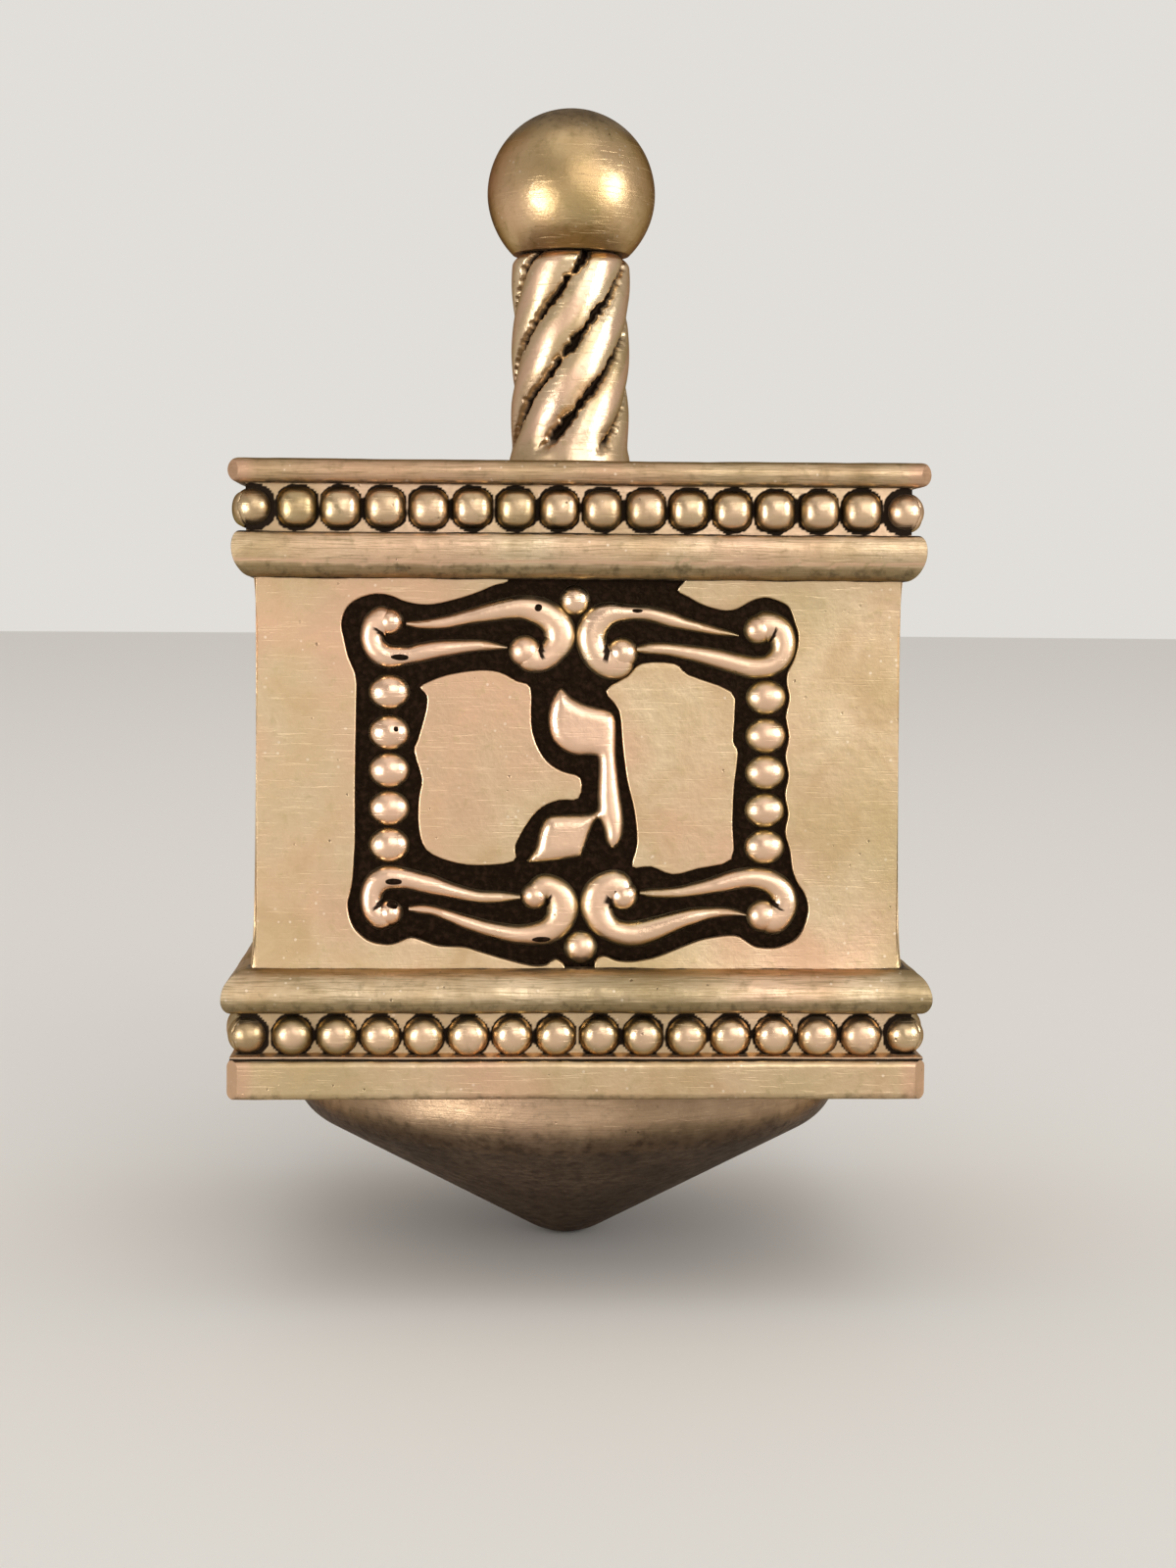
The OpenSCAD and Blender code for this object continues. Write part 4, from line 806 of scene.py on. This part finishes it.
def beaded_strip(side, turn, which, low, high, wall, radius, power):
    """power 2 gives round beads and a higher one squarer beads."""
    middle = (low + high) / 2
    pitch = 2 * (wall - END_INSET) / (BEADS - 1)
    rows = [(wall, low + (high - low) * i / 22) for i in range(23)]
    if which == "lower":
        rows = [(wall + 0.7, low), (wall + 0.7, low + 0.2), (wall, low + 0.4)] + rows[3:]
    bm = blank()
    mitred_bar(bm, [(SEAT, low)] + rows + [(SEAT, high)], 300)

    # Dark close round each bead: dirt, and painted shade in the crevice.
    def crevice_dirt_and_shade(v):
        if -v.co.y > wall + 0.3:
            return ease(0.07, 0.01, v.co.z - low), 1
        place = (v.co.x / pitch) % 1 - 0.5
        gap = outline_distance(place * pitch, v.co.z - middle, power, radius)
        cap = 0.14 * ease(radius * 0.6, radius * 0.2, abs(place) * pitch)
        return ease(0.17, 0.07, gap - cap + 0.12 * noise.noise(v.co / 0.7)), 0.4

    stain(bm, crevice_dirt_and_shade)
    soot_and_painted_shade, tone_and_painted_light = bm.verts.layers.float["soot_and_painted_shade"], bm.verts.layers.float["tone_and_painted_light"]
    for k in range(1, BEADS - 1):
        x = (k - (BEADS - 1) / 2) * pitch
        size = radius * (1 + 0.03 * noise.noise(Vector((k * 1.7, turn, power))))
        nudge = noise.noise_vector(Vector((k * 2.3, turn, power))) * 0.07
        for v in bead(bm, 0, 0, 0, (1, 1, 1), metal=0, rings=24):
            ahead, out = -v.co.y, math.hypot(v.co.x, v.co.z)
            reach = size / max((abs(v.co.x) ** power + abs(v.co.z) ** power) ** (1 / power), 0.001) * out
            if which == "upper":
                inner = math.hypot(v.co.x - nudge.x * 1.4, v.co.z - nudge.y * 1.4)
                rise = 0.8 * max(1 - out ** 7, 0) ** 0.5 + 0.49 * max(1 - (inner / 0.88) ** 2, 0) ** 0.75
                # Painted light on the upper domes: a dark ring at the rim as painted shade, and tone lighter
                # in the middle as a painted highlight and darker towards the rim.
                ring = 0.14 + 0.45 * noise.noise(Vector((k, v.co.x * 2, v.co.z * 2)))
                ring *= ease(0.05, 0.02, abs(inner - 0.88))
                v[tone_and_painted_light] = 0.3 * ease(0.5, 0.1, inner) - 0.5 * ease(0.8, 0.9, inner) - 0.4
            else:
                rise = 0.9 * radius * max(1 - out ** 2.5, 0) ** 0.5
                ring = 0
                # Painted light on the lower beads: a painted highlight in the middle and painted shade on the
                # lower half.
                v[tone_and_painted_light] = 0.8 * ease(0.95, 0.3, out) - 0.3 * ease(0, -0.9, v.co.z)
            # Dark where each bead meets the wall: dirt, and painted shade in the crevice.
            v[soot_and_painted_shade] = max(ease(0.05, 0.01, rise if ahead > 0.001 else 0), ring)
            height = rise if ahead > 0.001 else 0.3 * ahead
            v.co = (x + nudge.x + v.co.x * reach, -wall - height, middle + nudge.z + v.co.z * reach)
    # the last bead stands on the corner, and each strip carries its half of it
    corner, size = wall - 0.45, radius * 0.97
    for end in (-1, 1):
        for v in bead(bm, end * corner, middle, corner, (size, size, size), metal=0, rings=24):
            rise = max(-v.co.y, abs(v.co.x)) - wall
            # Dark where the corner bead meets the wall: dirt, and painted shade in the crevice.
            v[soot_and_painted_shade], v[tone_and_painted_light] = ease(0.12, 0.02, rise), 0.3
            v.co.x = end * min(end * v.co.x, -v.co.y - 0.01)
    wobble(bm, 0.04, 6, turn)
    name = f"{side}_{which}_beading"
    write_piece(bm, name + "_strip", [bead_alloy], name, turn, crease=60)


for side, turn in SIDES.items():
    beaded_strip(side, turn, "upper", UPPER_BEADS_LOW, UPPER_BEADS_TOP, 23.09, 1.39, 2.8)
    beaded_strip(side, turn, "lower", BASE_TOP, BEADS_TOP, 23.52, 1.42, 2.0)

# %% [markdown]
# ## Tip
# The tip is turned, so it is a spin: one profile, outside and inside, taken once round. Its
# straight band is painted lighter, as a painted reflection, and the cone below it painted dark,
# as a painted dark reflection.

# %% The turned tip
SLOPE, SHOULDER, BAND_Z = 29.2, 21.3, TIP_H - 2.02
POINT_R, SHOULDER_R, WALL = 6, 3.5, 2.2
SPIGOT, BORE = 17.5, 15.5


def turned_tip():
    slope = math.radians(SLOPE)
    line = arc(0, POINT_R, POINT_R, POINT_R, -90, SLOPE - 90, 20)
    line += arc(SHOULDER - SHOULDER_R, BAND_Z, SHOULDER_R, SHOULDER_R, SLOPE - 90, 0, 20)
    apex = POINT_R - POINT_R / math.cos(slope) + WALL / math.cos(slope)
    line += [(SHOULDER, TIP_H + 0.4), (SPIGOT, TIP_H + 0.4), (SPIGOT, TIP_H + 2), (BORE, TIP_H + 2)]
    line += [(BORE, apex + BORE * math.tan(slope)), (0, apex)]
    bm = blank()
    points = [bm.verts.new((x, 0, z)) for x, z in line]
    edges = [bm.edges.new(pair) for pair in zip(points, points[1:])]
    bmesh.ops.subdivide_edges(bm, edges=[e for e in edges if e.calc_length() > 4], cuts=10)
    bmesh.ops.spin(bm, geom=bm.verts[:] + bm.edges[:], cent=(0, 0, 0), axis=(0, 0, 1), angle=2 * math.pi,
                   steps=160, use_merge=True)
    bmesh.ops.remove_doubles(bm, verts=bm.verts, dist=0.0005)

    # Painted reflection: the upright band lighter and the cone below it dark.
    def painted_dark_reflection(v):
        wave = 0.35 * noise.noise(v.co / 3.0)
        edge = ease(BAND_Z + 0.4, BAND_Z - 2.2, v.co.z + wave)
        return 0.12 + 0.48 * edge, 0.3 * (1 - edge)

    stain(bm, painted_dark_reflection)
    write_piece(bm, "tip_turning", [turned_alloy], "tip_cone")


turned_tip()

# %% [markdown]
# ## Twisted grip
# Six strands twist up the grip in one casting. A fine cylinder is drawn in along six helical
# grooves. The grooves run out in the plain foot, their edges wander as a file leaves them, and
# the strands round over under the ball.

# %% The twisted grip
TWIST_Z, LEAD, STEM_R, STRANDS = STEM_LOW + 1.8, 32.3, 4.58, 6


def twisted_grip():
    bm = blank()
    length = STEM_HIGH - STEM_LOW
    bmesh.ops.create_cone(bm, cap_ends=True, segments=240, radius1=1, radius2=1, depth=length,
                          matrix=Matrix.Translation((0, 0, STEM_LOW + length / 2)))
    upright = [e for e in bm.edges if abs(e.verts[0].co.z - e.verts[1].co.z) > length / 2]
    bmesh.ops.subdivide_edges(bm, edges=upright, cuts=139, use_grid_fill=True)
    dirt = {}
    for v in bm.verts:
        angle, z = math.atan2(v.co.y, v.co.x), v.co.z
        place = Vector((math.cos(angle) * 4.6, math.sin(angle) * 4.6, z))
        wander = 0.05 * noise.noise(place / 2.2)
        share = (STRANDS * (angle / (2 * math.pi) - (z - TWIST_Z) / LEAD) + wander) % 1
        t = abs(share - 0.5) * 2
        run_out = ease(TWIST_Z - 0.5, TWIST_Z + 1.6, z)
        foot = 0.08 * ease(TWIST_Z + 0.5, TWIST_Z - 0.3, z) + 0.25 * max(1 - (z - STEM_LOW) / 1.8, 0) ** 2
        over = max((z - (STEM_HIGH - 0.95)) / 0.95, 0) ** 2
        width = 0.84 - 0.12 * noise.noise(place / 2.3) - 0.16 * noise.noise(place / 0.4)
        groove = ease(width - 0.07, width + 0.07, t) * run_out
        radius = STEM_R + foot - 0.5 * t ** 2.4 * run_out - 0.62 * groove - 0.75 * over
        v.co.x, v.co.y = radius * math.cos(angle), radius * math.sin(angle)
        seam = ease(STEM_HIGH - 0.35, STEM_HIGH, z) * 0.9
        foot_dirt = ease(STEM_LOW + 0.12, STEM_LOW, z) * 0.7
        dirt[v] = max(groove, seam, foot_dirt), 0.8 * ease(0.5, 0.1, t) * run_out
    wobble(bm, 0.05, 3)
    stain(bm, lambda v: dirt[v])
    write_piece(bm, "grip_twist", [rubbed_alloy], "twisted_stem", crease=60)


twisted_grip()

# %% [markdown]
# ## Ball
# The ball is cast and polished by hand, so it is nearly round. It sits on the grip on a small
# flat. Its crown is painted dark as a painted dark reflection, its underside a little dark as
# painted shade, and its middle band lighter as a painted reflection.

# %% The ball


def ball():
    radius = 6.48
    centre = BALL_TOP - radius - 0.05
    bm = blank()
    bmesh.ops.create_uvsphere(bm, u_segments=128, v_segments=80, radius=radius,
                              matrix=Matrix.Translation((0, 0, centre)))
    bmesh.ops.bisect_plane(bm, geom=bm.verts[:] + bm.edges[:] + bm.faces[:], plane_co=(0, 0, STEM_HIGH),
                           plane_no=(0, 0, -1), clear_outer=True)
    bmesh.ops.holes_fill(bm, edges=[e for e in bm.edges if e.is_boundary], sides=0)
    wobble(bm, 0.035, 4)

    # Painted light: a dark crown as a painted dark reflection, a little painted shade underneath, and a
    # lighter painted reflection round the middle.
    def ball_painted_light(v):
        up = v.co.z - centre
        return 0.1 * ease(-2.2, -5.8, up) + 0.62 * ease(1.6, 5.8, up), 0.3 * ease(4, 0, abs(up))

    stain(bm, ball_painted_light)
    write_piece(bm, "ball_casting", [ball_alloy], "ball_knob")


ball()

# %% [markdown]
# ## Plates
# The plates' CAD shapes are right, with their rounded edges, small corner flats and bosses. A copy
# of each mesh is cut into tiles a little under a millimetre wide, so that its surface can dip as a
# filed casting does, and so that its corners can be rubbed bright. Its flats are painted dark, as
# painted shade and a painted dark reflection, and the lower part of its edge as painted shade.

# %% The two plates
TILE = 0.8


def plate(node, name, metal, flat_shade_above, flat_shade_below, shine):
    """flat_shade_above and flat_shade_below are the soot_and_painted_shade of the two flats, their painted
    shade and painted dark reflection, and shine is the edge's tone_and_painted_light.
    """
    bm = blank()
    bm.from_mesh(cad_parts[node].data)
    to_mm = Matrix.Scale(1 / MM, 4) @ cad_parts[node].matrix_world
    bmesh.ops.transform(bm, matrix=to_mm, verts=bm.verts)
    half = max(v.co.x for v in bm.verts)
    rim = [v.co.z for v in bm.verts if v.co.x > half - 1]
    middle = (min(rim) + max(rim)) / 2
    for axis in (0, 1):
        for k in range(-29, 30):
            slice_through(bm, axis, k * TILE)
    wobble(bm, 0.05, 7)
    wobble(bm, 0.025, 1.6)

    # Painted light: the flats dark, the top flat filmy too, and the edge's lower part dark, as painted shade
    # and a painted dark reflection; the bright corners are wear.
    def rubbed(v):
        corner = ease(half * 2 - 2.4, half * 2 - 1.2, abs(v.co.x) + abs(v.co.y))
        flat = ease(half - 0.15, half - 0.55, max(abs(v.co.x), abs(v.co.y)))
        above, below = flat * (v.co.z > middle), flat * (v.co.z < middle)
        under = ease(middle - 0.6, middle - 1.3, v.co.z) * 0.3
        return max(flat_shade_above * above + flat_shade_below * below, under), max(corner, shine) - 0.9 * above - under

    stain(bm, rubbed)
    write_piece(bm, name, [metal], node)


plate("top_plate", "top_plate_casting", plate_alloy, 0.2, 0.5, 0.1)
plate("base_plate", "base_plate_casting", cast_alloy, 0.6, 0.35, 0.15)

# %% [markdown]
# ## Pieces whose CAD shape is right
# The fixings inside keep their CAD meshes and only get a finish.

# %% Finish the CAD nodes
for node in ("ball_dowel", "stem_stud", "stem_nut", "stem_washer"):
    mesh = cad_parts[node].data
    mesh.materials.clear()
    mesh.materials.append(steel)
    print(node, "finished in", steel.name)

# %% [markdown]
# ## Stage, light and camera
# A pale paper floor and a pale surround. Polished metal looks like what it reflects, so what the
# metal sees is near white too, and a little darker than what the camera sees.

# %% Floor and surround
paper = bpy.data.materials.new("floor_paper")
paper.use_nodes = True
paper_shader = paper.node_tree.nodes["Principled BSDF"]
paper_shader.inputs["Base Color"].default_value = linear("#E8E5E0")
paper_shader.inputs["Roughness"].default_value = 0.9
floor_bm = bmesh.new()
bmesh.ops.create_circle(floor_bm, cap_ends=True, segments=96, radius=4)
floor_mesh = bpy.data.meshes.new("floor")
floor_bm.to_mesh(floor_mesh)
floor_bm.free()
floor = bpy.data.objects.new("floor", floor_mesh)
floor_mesh.materials.append(paper)
bpy.context.scene.collection.objects.link(floor)

world = bpy.data.worlds.new("surround")
bpy.context.scene.world = world
world.use_nodes = True
sky = world.node_tree
sky.nodes.clear()
rays = add_node(sky, "ShaderNodeLightPath")
seen = add_node(sky, "ShaderNodeBackground", {"Color": linear("#ECE9E4"), "Strength": 0.9})
mirrored = add_node(sky, "ShaderNodeBackground", {"Color": linear("#ECE6DE"), "Strength": 0.6})
light = add_node(sky, "ShaderNodeBackground", {"Color": linear("#F4F2EF"), "Strength": 0.8})
unseen = add_node(sky, "ShaderNodeMixShader", links={
    0: rays.outputs["Is Glossy Ray"], 1: light.outputs[0], 2: mirrored.outputs[0]})
blend = add_node(sky, "ShaderNodeMixShader", links={
    0: rays.outputs["Is Camera Ray"], 1: unseen.outputs[0], 2: seen.outputs[0]})
add_node(sky, "ShaderNodeOutputWorld", links={"Surface": blend.outputs[0]})
print("floor and surround")

# %% [markdown]
# Two large soft lamps light everything from above and from the front. Two small softboxes near
# the object give the ball and the beads their bright spots, and light nothing else.

# %% Lamps


def softbox(name, azimuth, elevation, distance, size, watts, target=0.06, glint=False):
    """azimuth is counted from the front, to the right. A glint shines in metal only, not on the floor."""
    a, e = math.radians(azimuth), math.radians(elevation)
    away = Vector((math.sin(a) * math.cos(e), -math.cos(a) * math.cos(e), math.sin(e)))
    spot = away * distance + Vector((0, 0, target))
    lamp = bpy.data.lights.new(name, "AREA")
    lamp.shape, lamp.size, lamp.energy = "SQUARE", size, watts
    holder = bpy.data.objects.new(name, lamp)
    holder.location = spot
    holder.rotation_euler = (Vector((0, 0, target)) - spot).to_track_quat("-Z", "Y").to_euler()
    holder.visible_diffuse = not glint
    bpy.context.scene.collection.objects.link(holder)
    print(name, [round(c, 2) for c in spot])


softbox("softbox_left", -44.7, -13, 0.2, 0.075, 0.2, target=0.081, glint=True)
softbox("softbox_right", 55, 5, 0.27, 0.11, 0.42, target=0.081, glint=True)
softbox("softbox_top", 0, 66, 1.1, 1.0, 1.6)
softbox("fill_front", 18, 20, 2.2, 1.3, 12)

# %% [markdown]
# The camera stands a hand's length and a half in front of the body, a little to its left and
# just above its middle. It looks down by 4 degrees, and the picture is turned by a third of a
# degree.

# %% Camera
look = Matrix.Rotation(math.radians(-2.4), 3, "Z") @ Matrix.Rotation(math.radians(-4.0), 3, "X")
right, down, ahead = look @ Vector((1, 0, 0)), look @ Vector((0, 0, -1)), look @ Vector((0, 1, 0))
roll = math.radians(0.385)
right, down = math.cos(roll) * right - math.sin(roll) * down, math.sin(roll) * right + math.cos(roll) * down
camera_data = bpy.data.cameras.new("camera")
camera_data.lens, camera_data.sensor_width, camera_data.sensor_fit = 59.175, 36, "AUTO"
camera_data.clip_start = 0.01
camera = bpy.data.objects.new("camera", camera_data)
turned = Matrix((right, -down, -ahead)).transposed().to_4x4()
camera.matrix_world = Matrix.Translation(Vector((-6.88, -202.27, 49.7)) * MM) @ turned
bpy.context.scene.collection.objects.link(camera)
bpy.context.scene.camera = camera
bpy.context.scene.view_settings.view_transform = "Standard"
print("camera at", [round(c * 1000, 1) for c in camera.location])
